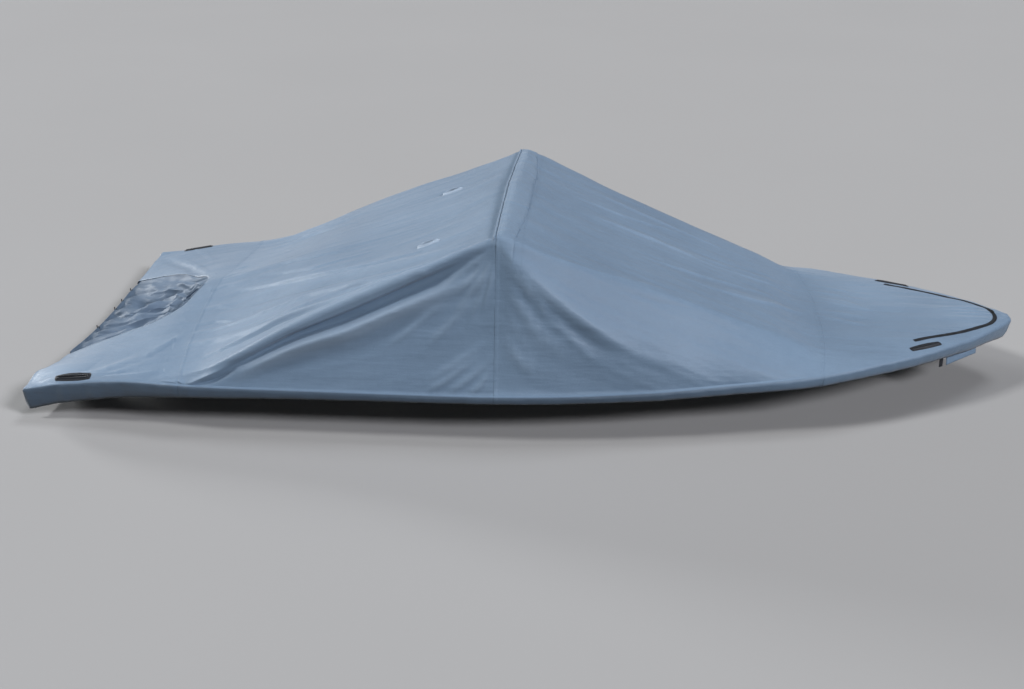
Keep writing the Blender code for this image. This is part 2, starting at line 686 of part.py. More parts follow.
def bow_zip(panel, collection):
    """The dark zip, laid on the bow deck, and its slider."""
    finder = face_finder(panel)
    rows = zip_line(finder)
    mesh = bmesh.new()
    lines = []
    for (x, y), (sx, sy) in rows:
        line = []
        for share in (-0.5, 0.5):
            point, _ = above(finder, x + share * ZIP_WIDTH * sx, y + share * ZIP_WIDTH * sy)
            line.append(mesh.verts.new(point + Vector((0.0, 0.0, ZIP_LIFT))))
        lines.append(line)
    for first, second in zip(lines, lines[1:]):
        mesh.faces.new((first[0], second[0], second[1], first[1]))
    bmesh.ops.recalc_face_normals(mesh, faces=mesh.faces)
    if sum(face.normal.z for face in mesh.faces) < 0.0:
        bmesh.ops.reverse_faces(mesh, faces=mesh.faces)
    data = bpy.data.meshes.new("bow_zip")
    mesh.to_mesh(data)
    mesh.free()
    data.materials.append(material("dark_trim"))
    thing = bpy.data.objects.new("bow_zip", data)
    collection.objects.link(thing)
    solid = thing.modifiers.new("thickness", "SOLIDIFY")
    solid.thickness = ZIP_THICK
    solid.offset = 1.0
    zip_slider(finder, rows, collection)


def zip_slider(finder, rows, collection):
    """The slider, a small rounded block on the zip."""
    (x, y), (sx, sy) = rows[int(SLIDER_AT * (len(rows) - 1))]
    heading = math.degrees(math.atan2(-sx, sy))
    matrix = set_matrix(finder, x, y, heading)
    length, width, height = SLIDER
    mesh = bmesh.new()
    bmesh.ops.create_cube(mesh, size=1.0)
    bmesh.ops.scale(mesh, vec=SLIDER, verts=mesh.verts)
    lift_by = ZIP_LIFT + ZIP_THICK + 0.5 * height + 2.0 * GAP
    bmesh.ops.translate(mesh, vec=(0.0, 0.0, lift_by), verts=mesh.verts)
    data = bpy.data.meshes.new("zip_slider")
    mesh.to_mesh(data)
    mesh.free()
    data.materials.append(material("dark_plastic"))
    thing = bpy.data.objects.new("zip_slider", data)
    thing.matrix_world = matrix
    collection.objects.link(thing)
    edge = thing.modifiers.new("edges", "BEVEL")
    edge.width = SLIDER_EDGE * min(length, width, height)
    edge.segments = 2


# ---------------------------------------------------------------- the well's cord
def cord_path():
    """The cord's laid-out points: just aft of the gathers, below the pocket's hem."""
    hem = pocket_points()[0]
    smooth = hem.copy()
    for _ in range(CORD_SMOOTHING):
        smooth[1:-1] = 0.25 * smooth[:-2] + 0.5 * smooth[1:-1] + 0.25 * smooth[2:]
    path = smooth[1:-1] - np.array((0.5 * GATHER_DEPTH + CORD_RADIUS + CORD_CLEAR, 0.0, 0.0))
    path[:, 2] = np.minimum(path[:, 2], hem[:, 2].min() + CORD_RISE)
    return path


def cord_hook(name, centre, collection):
    """A hook: three quarters of a turn round the cord, then a shank up to the hem."""
    bend = CORD_RADIUS + HOOK_RADIUS + 2.0 * GAP
    hook = []
    for k in range(HOOK_STEPS + 1):
        angle = math.pi * (HOOK_TURN * k / HOOK_STEPS - 0.5)
        hook.append(centre + bend * np.array((math.cos(angle), 0.0, -math.sin(angle))))
    hook.append(centre + np.array((-bend, 0.0, HOOK_SHANK)))
    tube(name, [moved(point) for point in hook], HOOK_RADIUS, "dark_plastic", collection)


def well_cord(collection):
    """The cord along the pocket's gathered hem, and its hooks."""
    path = cord_path()
    tube("well_cord", [moved(point) for point in path], CORD_RADIUS, "dark_trim", collection)
    for number, share in enumerate(HOOK_PLACES, 1):
        cord_hook(f"cord_hook_{number}", path[int(share * (len(path) - 1))], collection)


# ---------------------------------------------------------------- bow flap and strap
def hem_inside(x):
    """On the near side of the bow: a point behind the hem's lower edge, and one above it."""
    skirt = bow_skirt()[:, :len(BOW_SHARES)]
    low, high = (np.array([np.interp(x, row[:, 0], row[:, k]) for k in range(3)])
                 for row in (skirt[-1], skirt[-2]))
    inward = np.array((0.0, HEM_BEHIND, 0.0))
    return low + inward, low + inward + (high - low) * HEM_LAP


def hanging_strip(name, start, end, rows, columns, sizes, colour, collection):
    """A strip sewn behind the bow's hem that hangs at a line inside it, under the bow."""
    level, rise, height, lean, thickness = sizes
    points = np.zeros((rows + 2, columns, 3))
    for j, share in enumerate(np.linspace(0.0, 1.0, columns)):
        spot = start + (end - start) * share
        points[1, j], points[0, j] = hem_inside(spot[0])
        for i, fall in enumerate(np.linspace(0.0, 1.0, rows)):
            points[i + 2, j] = (spot[0], spot[1] - lean * fall,
                                level + rise * share - height * fall)
    return sheet_object(name, [points], colour, collection, thickness)


def bow_flap(collection):
    """The small flap under the near rim at the bow, and the strap end beside it."""
    hanging_strip("bow_flap", np.array(FLAP_START), np.array(FLAP_END), 4, 7, FLAP_SIZES,
                  "coated_cloth", collection)
    hanging_strip("bow_strap", np.array(STRAP_START), np.array(STRAP_END), 5, 2, STRAP_SIZES,
                  "dark_trim", collection)


# ---------------------------------------------------------------- the whole cover
def new_collection(name):
    """An empty collection in the scene."""
    made = bpy.data.collections.new(name)
    bpy.context.scene.collection.children.link(made)
    return made


def main():
    for thing in list(bpy.data.objects):
        bpy.data.objects.remove(thing)
    cover = new_collection("boat_cover")
    cutters = new_collection("cutters")
    stern = stern_panel(cover)
    well_pocket(cover)
    aft = body_panel("aft_panel", AFT_SEAM, RIDGE_SEAM, AFT_SHARES, cover, (SEAM_GAP, RIDGE_GAP))
    body_panel("front_panel", RIDGE_SEAM, BOW_SEAM, FRONT_SHARES, cover, (RIDGE_GAP, SEAM_GAP))
    bow = bow_panel(cover)
    ridge_band(cover)
    ridge_welt(aft, cover)
    for side, word in ((-1.0, "near"), (1.0, "far")):
        x, y, heading = CLEAT_AFT
        slot_ring(f"cleat_binding_aft_{word}", stern, (x, side * y, side * heading), CLEAT_RING,
                  "dark_trim", cover, cutters)
        x, y, heading = CLEAT_FORE
        slot_ring(f"cleat_binding_fore_{word}", bow, (x, side * y, side * heading), CLEAT_RING,
                  "dark_trim", cover, cutters)
        x, y, heading = VENT
        slot_ring(f"vent_welt_{word}", aft, (x, side * y, heading), VENT_RING,
                  "coated_cloth", cover, cutters)
    bow_zip(bow, cover)
    well_cord(cover)
    bow_flap(cover)


main()
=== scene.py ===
"""The looks of a fitted boat cover: its cloth, seams, bindings, zip, cord and light.

Lengths are in metres. The cloth is laid out as in the part's source: x runs forward from
the transom, y to the far side and z up from the hem corner at the stern. Each mesh is
then moved into the frame, whose origin is the mount under the middle of the ridge.
A place v on a section runs from -1 at the near shoulder to 1 at the far one, and run is
the signed length along the section's cloth from its middle.
"""

import math

import bmesh
import bpy
import numpy as np
from mathutils import Matrix, Vector


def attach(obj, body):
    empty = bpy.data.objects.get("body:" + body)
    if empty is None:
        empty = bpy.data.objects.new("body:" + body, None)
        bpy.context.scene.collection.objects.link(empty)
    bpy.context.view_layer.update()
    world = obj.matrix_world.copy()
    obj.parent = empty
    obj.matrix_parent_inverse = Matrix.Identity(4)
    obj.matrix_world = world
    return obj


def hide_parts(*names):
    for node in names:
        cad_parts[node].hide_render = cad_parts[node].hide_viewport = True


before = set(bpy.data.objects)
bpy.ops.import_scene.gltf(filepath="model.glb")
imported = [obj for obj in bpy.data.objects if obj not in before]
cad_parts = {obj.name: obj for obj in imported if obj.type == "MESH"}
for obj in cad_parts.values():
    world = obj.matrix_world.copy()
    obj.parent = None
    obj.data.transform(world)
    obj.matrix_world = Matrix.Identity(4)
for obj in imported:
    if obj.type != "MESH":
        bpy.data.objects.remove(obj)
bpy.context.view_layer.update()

# ---------------------------------------------------------------- sizes of the part
LENGTH = 4.99           # transom to bow tip
RIDGE_X = 2.34          # the ridge across the cover
MOUNT_Z = 0.80          # the mount, just under the ridge cloth
SHOULDER = 0.018        # the rim's roll, from the last flat line to its outer edge
SHOULDER_RISE = 0.004   # the last flat line lies this much above the rim line

# One row for each cross-section: beam is half the width, rim the height of its outer fold,
# crest the top line of the hip, low the line where the hip ends and the side begins, crown
# the middle line, and drop the height of the hem skirt.
COLUMNS = ("x", "beam", "rim", "crest_y", "crest_z", "low_y", "low_z", "crown", "drop")
SECTIONS = (
    (0.00, 1.000, 0.002, 0.800, -0.008, 0.930, -0.004, -0.080, 0.118),
    (0.03, 0.998, 0.006, 0.810, 0.002, 0.935, 0.004, -0.060, 0.116),
    (0.20, 0.994, 0.031, 0.880, 0.046, 0.945, 0.042, 0.044, 0.108),
    (0.45, 1.006, 0.068, 0.920, 0.088, 0.965, 0.080, 0.146, 0.096),
    (0.61, 1.024, 0.080, 0.940, 0.106, 0.985, 0.094, 0.210, 0.086),
    (0.72, 1.040, 0.083, 0.960, 0.116, 1.003, 0.102, 0.232, 0.078),
    (0.86, 1.050, 0.083, 0.990, 0.138, 1.018, 0.114, 0.272, 0.068),
    (1.00, 1.052, 0.082, 1.000, 0.190, 1.008, 0.152, 0.318, 0.062),
    (1.35, 1.047, 0.080, 0.955, 0.372, 0.936, 0.320, 0.440, 0.052),
    (1.70, 1.045, 0.080, 0.886, 0.526, 0.868, 0.474, 0.540, 0.047),
    (2.00, 1.043, 0.080, 0.836, 0.650, 0.816, 0.592, 0.645, 0.045),
    (2.26, 1.038, 0.080, 0.787, 0.762, 0.790, 0.706, 0.772, 0.044),
    (2.34, 1.034, 0.080, 0.778, 0.800, 0.800, 0.740, 0.820, 0.044),
    (2.43, 1.028, 0.080, 0.774, 0.776, 0.838, 0.690, 0.792, 0.044),
    (2.60, 1.012, 0.080, 0.762, 0.700, 0.872, 0.560, 0.706, 0.044),
    (2.85, 0.978, 0.082, 0.705, 0.602, 0.893, 0.385, 0.600, 0.046),
    (3.10, 0.934, 0.087, 0.665, 0.506, 0.888, 0.256, 0.502, 0.050),
    (3.40, 0.872, 0.099, 0.628, 0.390, 0.850, 0.154, 0.388, 0.054),
    (3.70, 0.812, 0.115, 0.592, 0.272, 0.786, 0.141, 0.274, 0.060),
    (3.95, 0.744, 0.131, 0.545, 0.176, 0.715, 0.142, 0.180, 0.066),
    (4.20, 0.634, 0.142, 0.450, 0.168, 0.598, 0.151, 0.176, 0.070),
    (4.50, 0.470, 0.153, 0.330, 0.174, 0.438, 0.161, 0.181, 0.074),
    (4.80, 0.243, 0.159, 0.160, 0.173, 0.212, 0.165, 0.176, 0.088),
    (4.90, 0.146, 0.160, 0.095, 0.169, 0.120, 0.165, 0.170, 0.098),
    (5.00, 0.030, 0.158, 0.006, 0.163, 0.009, 0.162, 0.164, 0.120),
)
CREST = 0.5             # the hip's top and foot, as places in the section
LOW = 0.6

# Seams across the cover: x at the near rim, in the middle and at the far rim.
AFT_SEAM = (0.810, 0.700, 0.660)
RIDGE_SEAM = (2.340, 2.324, 2.348)
BOW_SEAM = (3.920, 3.985, 3.920)
TIP_ROUND = 0.015       # the deck's front edge bows forward this much at the tip
BOW_TIP = (LENGTH - 0.004, LENGTH - 0.004 + TIP_ROUND, LENGTH - 0.004)
# The rim and hem skirt: outward step, fixed fall and share of the drop.
SKIRT = (
    (0.0000, 0.000, 0.0),
    (0.0130, 0.004, 0.0),
    (0.0180, 0.016, 0.0),
    (0.0170, 0.010, 0.5),
    (0.0060, 0.000, 1.0),
)
END_TUCK = 0.035        # the hem runs in under the cover at its two ends

# The well pocket's edges on the deck: a station and the edge's y on each side.
POCKET_EDGE = (
    (0.000, 0.480, 0.560),
    (0.200, 0.455, 0.470),
    (0.350, 0.410, 0.385),
    (0.450, 0.365, 0.300),
    (0.545, 0.295, 0.200),
    (0.590, 0.215, 0.120),
    (0.608, 0.130, 0.070),
)
POCKET_APEX = 0.622
POCKET_DIP = 0.072      # how far the pocket hangs below its edges
DIP_LEAN = 0.8          # its deepest place lies aft of the middle
HEM_SAG = 0.034         # and how far its gathered hem does
GATHERS = 7             # main folds drawn in by the cord
GATHER_DEPTH = 0.013
GATHER_SKEW = (0.9, 5.0)    # the gathers are uneven: the shift's size and its pace
GATHER_FADE = 0.7       # how fast they die out towards the apex
EDGE_FADE = 0.6         # and the pocket's sag towards its sewn edges

CLEAT_AFT = (0.245, 0.954, 2.0)     # x, |y| and heading in degrees
CLEAT_FORE = (4.470, 0.432, -28.0)
VENT = (1.960, 0.452, 0.0)
BAND_REACH = 0.634      # the ridge band ends at this place down each side
BAND_WIDTH = 0.128
WELT_RADIUS = 0.006
WELT_REACH = 0.545
ZIP_ROUTE = ((4.420, 0.390), (4.525, 0.336), (4.650, 0.272), (4.765, 0.205), (4.850, 0.142),
             (4.900, 0.078), (4.918, 0.000))
ZIP_WIDTH = 0.021
SLIDER_AT = 0.53        # share of the zip's length
CORD_RADIUS = 0.003
CORD_CLEAR = 0.003      # between the cord and the deepest gather
CORD_RISE = 0.032       # the cord stays this near to the hem's lowest point
CORD_SMOOTHING = 30

# Strips under the bow: the line of the upper edge in plan, then its height at the start,
# its rise to the end, the strip's fall and the lean outward, and the points along and across.
FLAP = ((4.628, -0.268), (4.806, -0.146), (0.040, 0.020, 0.046, 0.018), 8, 19)
STRAP = ((4.590, -0.285), (4.611, -0.271), (0.066, 0.000, 0.080, 0.012), 10, 4)
HEM_BEHIND = 0.008      # how far behind the hem's face a strip is sewn
HEM_LAP = 0.45          # and how far up it, as a share of the skirt's lower half

# ---------------------------------------------------------------- sizes of the finish
CLOTH = 0.0012          # thickness of one layer
POCKET_CLOTH = 0.0008   # and of the other cloths and tapes
ZIP_CLOTH = 0.0008
STRIP_CLOTH = 0.0016
SLOT_CLOTH = 0.0006
LAP = 0.014             # a panel runs this far under its neighbour
LAP_DEPTH = 0.0006      # and this far below it
FELL = (0.012, 0.018)   # the felled edge that rides over the neighbour, and its soft end
WELD = 0.00004          # points this near are one
POCKET_WELD = 0.0002
FINE_WELD = 0.00002
TUBE_WELD = 0.00001
SNAP = 0.0030           # points this near to a slot's outline are moved onto it
SMALL = 0.003           # step for a slope of the section
SPOT_STEP = 0.002       # and of the finished cloth
FAR_OFF = 9.0           # a distance beyond any on the cover

# Spacing of the mesh along the panels, as stations and steps, and across them.
AFT_STEPS = ((0.70, 0.0098), (1.20, 0.0122), (1.90, 0.0116), (2.10, 0.0085), (2.34, 0.0074))
FRONT_STEPS = ((2.34, 0.0075), (2.80, 0.0085), (3.00, 0.0120), (3.80, 0.0120), (3.98, 0.0100))
BOW_STEPS = ((3.98, 0.0095), (5.00, 0.0095))
ACROSS_STEPS = (0.0088, 0.0074, 0.0100, 0.0140, 0.0140)
EDGE_STEPS = (0.0, 0.0015, 0.003, 0.006, 0.010, 0.013, 0.017, 0.024)    # beside a seam
EDGE_END = 0.033
SKIRT_ROWS = 11

# The hips are rounded by a blur of the flat-sided section: its size aft, ahead of the
# ridge and low on the side further ahead, and the stations and places between which it changes.
HIP_SOFT = (0.009, 0.020, 0.036)
HIP_RIDGE = (2.05, 2.40)
HIP_AHEAD = (2.70, 3.05)
HIP_FOOT = (0.53, 0.59)
BLUR_TAPS = 4
BLUR_SPREAD = 2.0

# Main folds, as in the part: a start, a middle and an end, each a station and a place,
# then the width and the height. A trough has a negative height.
FOLDS = (
    # x0    v0     x1    v1     x2    v2     width  height
    (2.24, -0.665, 1.62, -0.715, 1.12, -0.770, 0.090, 0.034),
    (2.28, -0.600, 1.60, -0.632, 1.02, -0.648, 0.075, -0.022),
    (2.29, -0.640, 2.23, -0.690, 2.16, -0.740, 0.028, 0.009),
    (2.30, -0.660, 2.26, -0.720, 2.21, -0.790, 0.026, 0.007),
    (2.27, -0.860, 2.15, -0.905, 2.02, -0.955, 0.040, 0.009),
    (1.60, -0.455, 1.18, -0.395, 0.76, -0.360, 0.060, 0.012),
    (2.24, -0.460, 1.60, -0.270, 1.00, -0.125, 0.070, 0.010),
    (1.50, 0.360, 1.12, 0.350, 0.80, 0.335, 0.060, 0.011),
    (2.38, -0.615, 2.68, -0.620, 3.04, -0.640, 0.110, 0.010),
    (2.39, -0.680, 2.46, -0.730, 2.56, -0.800, 0.045, 0.009),
    (2.38, -0.850, 2.45, -0.885, 2.53, -0.930, 0.042, 0.009),
    (2.24, 0.640, 1.70, 0.690, 1.02, 0.870, 0.062, 0.020),
    (2.28, 0.700, 2.05, 0.780, 1.80, 0.860, 0.050, 0.010),
    (2.42, 0.640, 2.62, 0.700, 2.90, 0.800, 0.052, 0.015),
    (2.38, 0.740, 2.50, 0.820, 2.62, 0.910, 0.045, 0.009),
    (3.25, -0.250, 3.62, -0.170, 3.92, -0.080, 0.060, 0.007),
    (2.85, 0.080, 3.30, 0.070, 3.90, 0.200, 0.055, 0.006),
    (0.62, 0.030, 0.33, 0.290, 0.04, 0.540, 0.050, -0.018),
    (0.66, -0.330, 0.36, -0.560, 0.12, -0.700, 0.060, 0.006),
    (-0.10, -0.500, 0.08, -0.500, 0.30, -0.480, 0.240, 0.034),
)

# Finer creases, in the same columns.
CREASES = (
    # the aft hip: its crest, the steep valley under it and the second crest
    (2.31, -0.545, 1.60, -0.570, 0.96, -0.600, 0.090, 0.0270),
    (2.31, -0.488, 1.60, -0.480, 0.98, -0.515, 0.044, 0.0120),
    (2.10, -0.625, 1.60, -0.646, 0.98, -0.672, 0.038, -0.0110),
    (2.32, -0.595, 2.22, -0.610, 2.08, -0.622, 0.060, 0.0110),
    (2.18, -0.662, 1.62, -0.698, 1.14, -0.756, 0.060, 0.0200),
    # its run into the knot at the rim
    (1.04, -0.580, 0.93, -0.680, 0.838, -0.975, 0.032, 0.0170),
    (1.08, -0.700, 0.98, -0.800, 0.870, -0.965, 0.030, -0.0150),
    (0.78, -0.760, 0.82, -0.880, 0.832, -0.990, 0.020, 0.0090),
    (0.72, -0.820, 0.78, -0.900, 0.812, -0.990, 0.020, 0.0080),
    (0.80, -0.800, 0.80, -0.900, 0.820, -0.985, 0.016, -0.0060),
    (0.90, -0.850, 0.87, -0.920, 0.850, -0.990, 0.020, 0.0070),
    # short folds that fan out under the ridge's corner
    (2.29, -0.600, 2.20, -0.625, 2.10, -0.645, 0.026, 0.0090),
    (2.29, -0.618, 2.24, -0.650, 2.17, -0.680, 0.026, 0.0110),
    (2.31, -0.630, 2.28, -0.670, 2.23, -0.710, 0.028, 0.0120),
    (2.32, -0.645, 2.31, -0.690, 2.28, -0.750, 0.028, 0.0110),
    # diagonal folds on the side, and by the rim at the ridge seam
    (2.09, -0.705, 1.93, -0.767, 1.82, -0.815, 0.050, 0.0110),
    (2.23, -0.718, 2.12, -0.780, 2.01, -0.838, 0.050, 0.0120),
    (2.24, -0.895, 2.11, -0.955, 2.02, -0.990, 0.038, 0.0150),
    (2.30, -0.910, 2.19, -0.965, 2.12, -0.995, 0.038, 0.0150),
    (2.32, -0.930, 2.27, -0.975, 2.22, -0.997, 0.032, 0.0120),
    # long folds up the aft slope
    (2.28, -0.530, 1.60, -0.395, 0.76, -0.372, 0.024, 0.0120),
    (1.88, -0.494, 1.25, -0.415, 0.90, -0.432, 0.024, 0.0150),
    (1.99, -0.510, 1.38, -0.328, 0.76, -0.308, 0.026, 0.0180),
    (1.92, -0.300, 1.42, -0.218, 0.88, -0.098, 0.024, 0.0150),
    (1.95, -0.420, 1.36, -0.275, 0.85, -0.205, 0.055, -0.0100),
    (1.80, -0.470, 1.30, -0.372, 0.88, -0.366, 0.034, -0.0050),
    (1.60, -0.130, 1.30, -0.120, 0.98, -0.040, 0.030, 0.0080),
    (1.44, -0.052, 1.24, -0.030, 1.05, 0.002, 0.024, 0.0080),
    (1.35, 0.400, 1.05, 0.405, 0.80, 0.410, 0.026, 0.0100),
    (1.39, 0.255, 1.14, 0.330, 0.91, 0.360, 0.028, 0.0100),
    (1.30, 0.440, 0.96, 0.450, 0.62, 0.470, 0.150, 0.0340),
    # the front: the light band's edges, and the valley and streaks under the corner
    (2.41, -0.527, 2.83, -0.490, 3.32, -0.430, 0.030, 0.0040),
    (2.36, -0.648, 2.69, -0.612, 3.00, -0.646, 0.030, 0.0060),
    (2.40, -0.690, 2.64, -0.690, 2.90, -0.730, 0.070, -0.0150),
    (2.43, -0.642, 2.58, -0.690, 2.80, -0.785, 0.032, 0.0200),
    (2.42, -0.690, 2.52, -0.745, 2.66, -0.830, 0.022, 0.0060),
    (2.38, -0.740, 2.44, -0.800, 2.52, -0.870, 0.022, 0.0045),
    (2.36, -0.800, 2.46, -0.880, 2.60, -0.950, 0.022, 0.0050),
    (2.83, -0.520, 3.12, -0.515, 3.31, -0.505, 0.018, -0.0035),
    (2.76, 0.058, 3.10, 0.060, 3.40, 0.035, 0.020, 0.0100),
    (3.35, 0.030, 3.68, 0.085, 3.90, 0.150, 0.020, 0.0100),
    (3.35, -0.247, 3.65, -0.195, 3.88, -0.103, 0.020, 0.0100),
    (3.02, -0.175, 3.34, -0.145, 3.73, -0.047, 0.020, 0.0090),
    (2.58, 0.177, 2.92, 0.203, 3.26, 0.298, 0.020, 0.0090),
    (2.80, 0.340, 3.14, 0.330, 3.49, 0.325, 0.020, 0.0090),
    (3.30, 0.123, 3.58, 0.153, 3.88, 0.258, 0.022, -0.0050),
    # the groove behind the ridge's welt, on both sides of the middle
    (2.308, -0.540, 2.290, 0.000, 2.314, 0.540, 0.046, -0.0110),
    (2.308, -0.540, 2.296, -0.270, 2.290, 0.020, 0.046, -0.0090),
    (2.290, -0.020, 2.298, 0.270, 2.314, 0.540, 0.046, -0.0090),
    # the hollow ahead of the ridge band
    (2.444, -0.450, 2.470, -0.050, 2.474, 0.020, 0.034, -0.0045),
    (2.474, -0.020, 2.476, 0.060, 2.460, 0.450, 0.034, -0.0045),
    # short creases that run off the bow seam and the aft seam
    (4.00, 0.137, 4.15, 0.088, 4.30, -0.045, 0.024, 0.0090),
    (3.99, -0.115, 4.11, -0.165, 4.24, -0.260, 0.024, 0.0080),
    (4.01, 0.105, 4.13, 0.050, 4.26, -0.010, 0.022, 0.0060),
    (4.00, 0.230, 4.12, 0.210, 4.26, 0.140, 0.022, 0.0060),
    (4.00, -0.040, 4.12, -0.070, 4.24, -0.130, 0.022, 0.0060),
    (4.00, 0.330, 4.14, 0.310, 4.30, 0.250, 0.024, 0.0050),
    (4.86, 0.300, 4.80, 0.200, 4.66, 0.120, 0.020, 0.0080),
    (4.90, 0.150, 4.82, 0.080, 4.68, 0.040, 0.020, 0.0080),
    (4.91, -0.030, 4.83, -0.050, 4.70, -0.060, 0.018, 0.0070),
    (4.87, -0.260, 4.78, -0.200, 4.64, -0.140, 0.018, 0.0060),
    (0.70, -0.060, 0.78, -0.050, 0.88, -0.070, 0.022, 0.0044),
    (0.70, 0.010, 0.77, 0.030, 0.84, 0.020, 0.022, 0.0042),
    (0.71, 0.110, 0.78, 0.120, 0.86, 0.100, 0.020, 0.0062),
    (0.72, -0.180, 0.80, -0.170, 0.90, -0.200, 0.024, 0.0038),
    (0.74, -0.260, 0.84, -0.255, 0.96, -0.280, 0.020, 0.0062),
    # the after deck: folds round the pocket's point and beside its near edge
    (0.64, 0.050, 0.40, 0.270, 0.12, 0.490, 0.026, 0.0050),
    (0.62, 0.030, 0.33, 0.290, 0.04, 0.540, 0.050, 0.0110),
    (0.60, 0.110, 0.40, 0.300, 0.16, 0.500, 0.022, -0.0040),
    (0.52, 0.250, 0.36, 0.420, 0.22, 0.640, 0.024, 0.0070),
    (0.66, -0.040, 0.68, -0.060, 0.72, -0.090, 0.022, 0.0050),
    (0.36, -0.540, 0.55, -0.430, 0.70, -0.300, 0.022, 0.0090),
    (0.28, -0.610, 0.46, -0.530, 0.64, -0.430, 0.022, 0.0090),
    (0.40, -0.650, 0.54, -0.580, 0.66, -0.510, 0.022, 0.0090),
    (0.16, -0.600, 0.34, -0.520, 0.50, -0.430, 0.022, 0.0090),
    (0.10, -0.720, 0.34, -0.680, 0.60, -0.600, 0.040, 0.0060),
    (0.06, -0.640, 0.24, -0.590, 0.40, -0.520, 0.022, 0.0090),
)
ROUND = 2.0             # the power of a round fold
SHARP = 1.3             # and of a more pointed crease
TAPER = 0.08            # a fold's height starts from this share of the way up
# The far side repeats the near side's creases, this high, and a shallow valley runs
# beside each crease of the aft slope.
SIDE_CREASES = [fold for fold in CREASES if max(fold[1:6:2]) < -0.58]
FAR_SHARE = 0.8
SLOPE_CREASES = [fold for fold in CREASES if min(fold[1:6:2]) > -0.5 and fold[0] < 2.3]
BESIDE = 0.026
BESIDE_SHARE = 0.45

# Loose wrinkles over the whole cloth: cell along, cell across, height and seed.
WRINKLES = (
    (0.60, 0.32, 0.0042, 3),
    (0.75, 0.10, 0.0030, 5),
    (0.30, 0.040, 0.0016, 11),
    (0.22, 0.13, 0.0012, 7),
    (0.07, 0.05, 0.00030, 9),
)
SEAM_CALM = 0.35        # their share at a seam, and how far from it they reach their height
SEAM_CALM_REACH = 0.16
PUCKER_CELL = (0.030, 0.2)  # puckers at the seams: cell along the seam and away from it
PUCKER_DEPTH = 0.0022
PUCKER_REACH = 0.045
PUCKER_SEED = 20
# The skirt's ripples: height, length, share down the skirt and seed.
RIPPLES = ((0.0022, 0.11, 0.8, 31), (0.0012, 0.035, 0.5, 32))
STERN_RIPPLE = 2.2      # they are higher by this much at the stern
STERN_REACH = (0.1, 0.9)
RIPPLE_ROWS = (0.05, 0.75)

FOLD_SHADE = 0.30       # painted shade in the bottom of a fold this deep
FOLD_DEPTH = 0.018
CREST_HIGHLIGHT = 0.34       # and painted highlight on the crest of a fold this high
CREST_HEIGHT = 0.034
HEM_SHADE = 0.86        # painted shade on the hem skirt from its turn downward, none at the bow
HEM_SHADE_REACH = 0.007
HEM_SHADE_FADE = (2.8, 4.2)

CLEAT_MOUTH = (0.162, 0.020)    # length and width of the holes in the cloth
VENT_MOUTH = (0.094, 0.020)
# Bound slots: the tape's length and width, the slot's, and how far its lips stand up. The
# cleat slots' lips almost meet, and the vents gape, near and far.
CLEAT_LIPS = (0.200, 0.038, 0.156, 0.004)
CLEAT_RISE = 0.002
VENT_LIPS = (0.124, 0.044, 0.098, 0.021)
VENT_RISE = 0.0045
VENT_GAPE = (0.008, 0.012)
# The tape's section: a share of the way from the slot's edge to the tape's, a height, and
# 1 where it also rises with the lips.
SLOT_PROFILE = (
    (1.00, -0.0010, 0), (1.00, 0.0006, 0), (0.93, 0.0013, 0), (0.70, 0.0015, 0),
    (0.50, 0.0016, 0), (0.36, 0.0030, 1), (0.20, 0.0042, 1), (0.06, 0.0040, 1),
    (0.00, 0.0022, 1), (0.00, -0.0020, 0), (0.10, -0.0036, 0))
SLOT_LIFT = 0.0006
SLOT_POINTS = 72

WELT_ROLL = 0.0082      # the welt's soft cloth bulges out to this radius
WELT_SHADE = 0.16       # painted shade on the welt, for the groove behind the band
WELT_STEP = 0.004
BAND_NARROW = 0.36      # the band is narrower by this share down the sides
BAND_PAD = 0.008        # and padded between its edges
BAND_GATHER = 0.0042    # gathers at its corners
BAND_SOFT = 0.0026      # and a slack middle
BAND_CROSS = (0.19, 0.0026)     # two cross seams stand up: their place and height
BAND_SINK = (0.0014, 0.0045)    # its front edge and its ends are pressed down
BAND_PROUD = 0.0022     # and its back edge stands up

STITCH_LENGTH = 0.0042
STITCH_RADIUS = 0.00042
STITCH_PITCH = 0.0075
# A stitch's section along its length: place, size and depth.
STITCH_RINGS = ((-0.5, 0.55, -0.9), (-0.25, 1.0, 0.0), (0.25, 1.0, 0.0), (0.5, 0.55, -0.9))
# Rows of stitches: seam, side of it, offsets and the last place; then their lift.
STITCH_ROWS = (
    ("aft_seam", AFT_SEAM, 1.0, (0.0030, 0.0105), 0.995, CLOTH + 0.0002),
    ("ridge_seam", RIDGE_SEAM, 1.0, (0.0040, BAND_WIDTH - 0.004), BAND_REACH, 0.0030),
    ("bow_seam", BOW_SEAM, -1.0, (0.0030, 0.0105), 0.995, CLOTH + 0.0002),
)

# The zip's tape: a share of its width and a height.
ZIP_PROFILE = ((-0.50, 0.0010), (-0.48, 0.0020), (-0.30, 0.0022), (-0.12, 0.0026),
               (-0.07, 0.0012), (0.07, 0.0012), (0.12, 0.0026), (0.30, 0.0022),
               (0.48, 0.0020), (0.50, 0.0010))
ZIP_POINTS = 360
ZIP_FINE_POINTS = 481
TOOTH_PITCH = 0.0032
TOOTH_FOOT = 0.0014
# A tooth's section across the zip: place, half its length along the zip, and its top.
TOOTH_RINGS = ((-0.0026, 0.0009, 0.0022), (-0.0004, 0.0012, 0.0034),
               (0.0012, 0.0012, 0.0034), (0.0020, 0.0007, 0.0024))
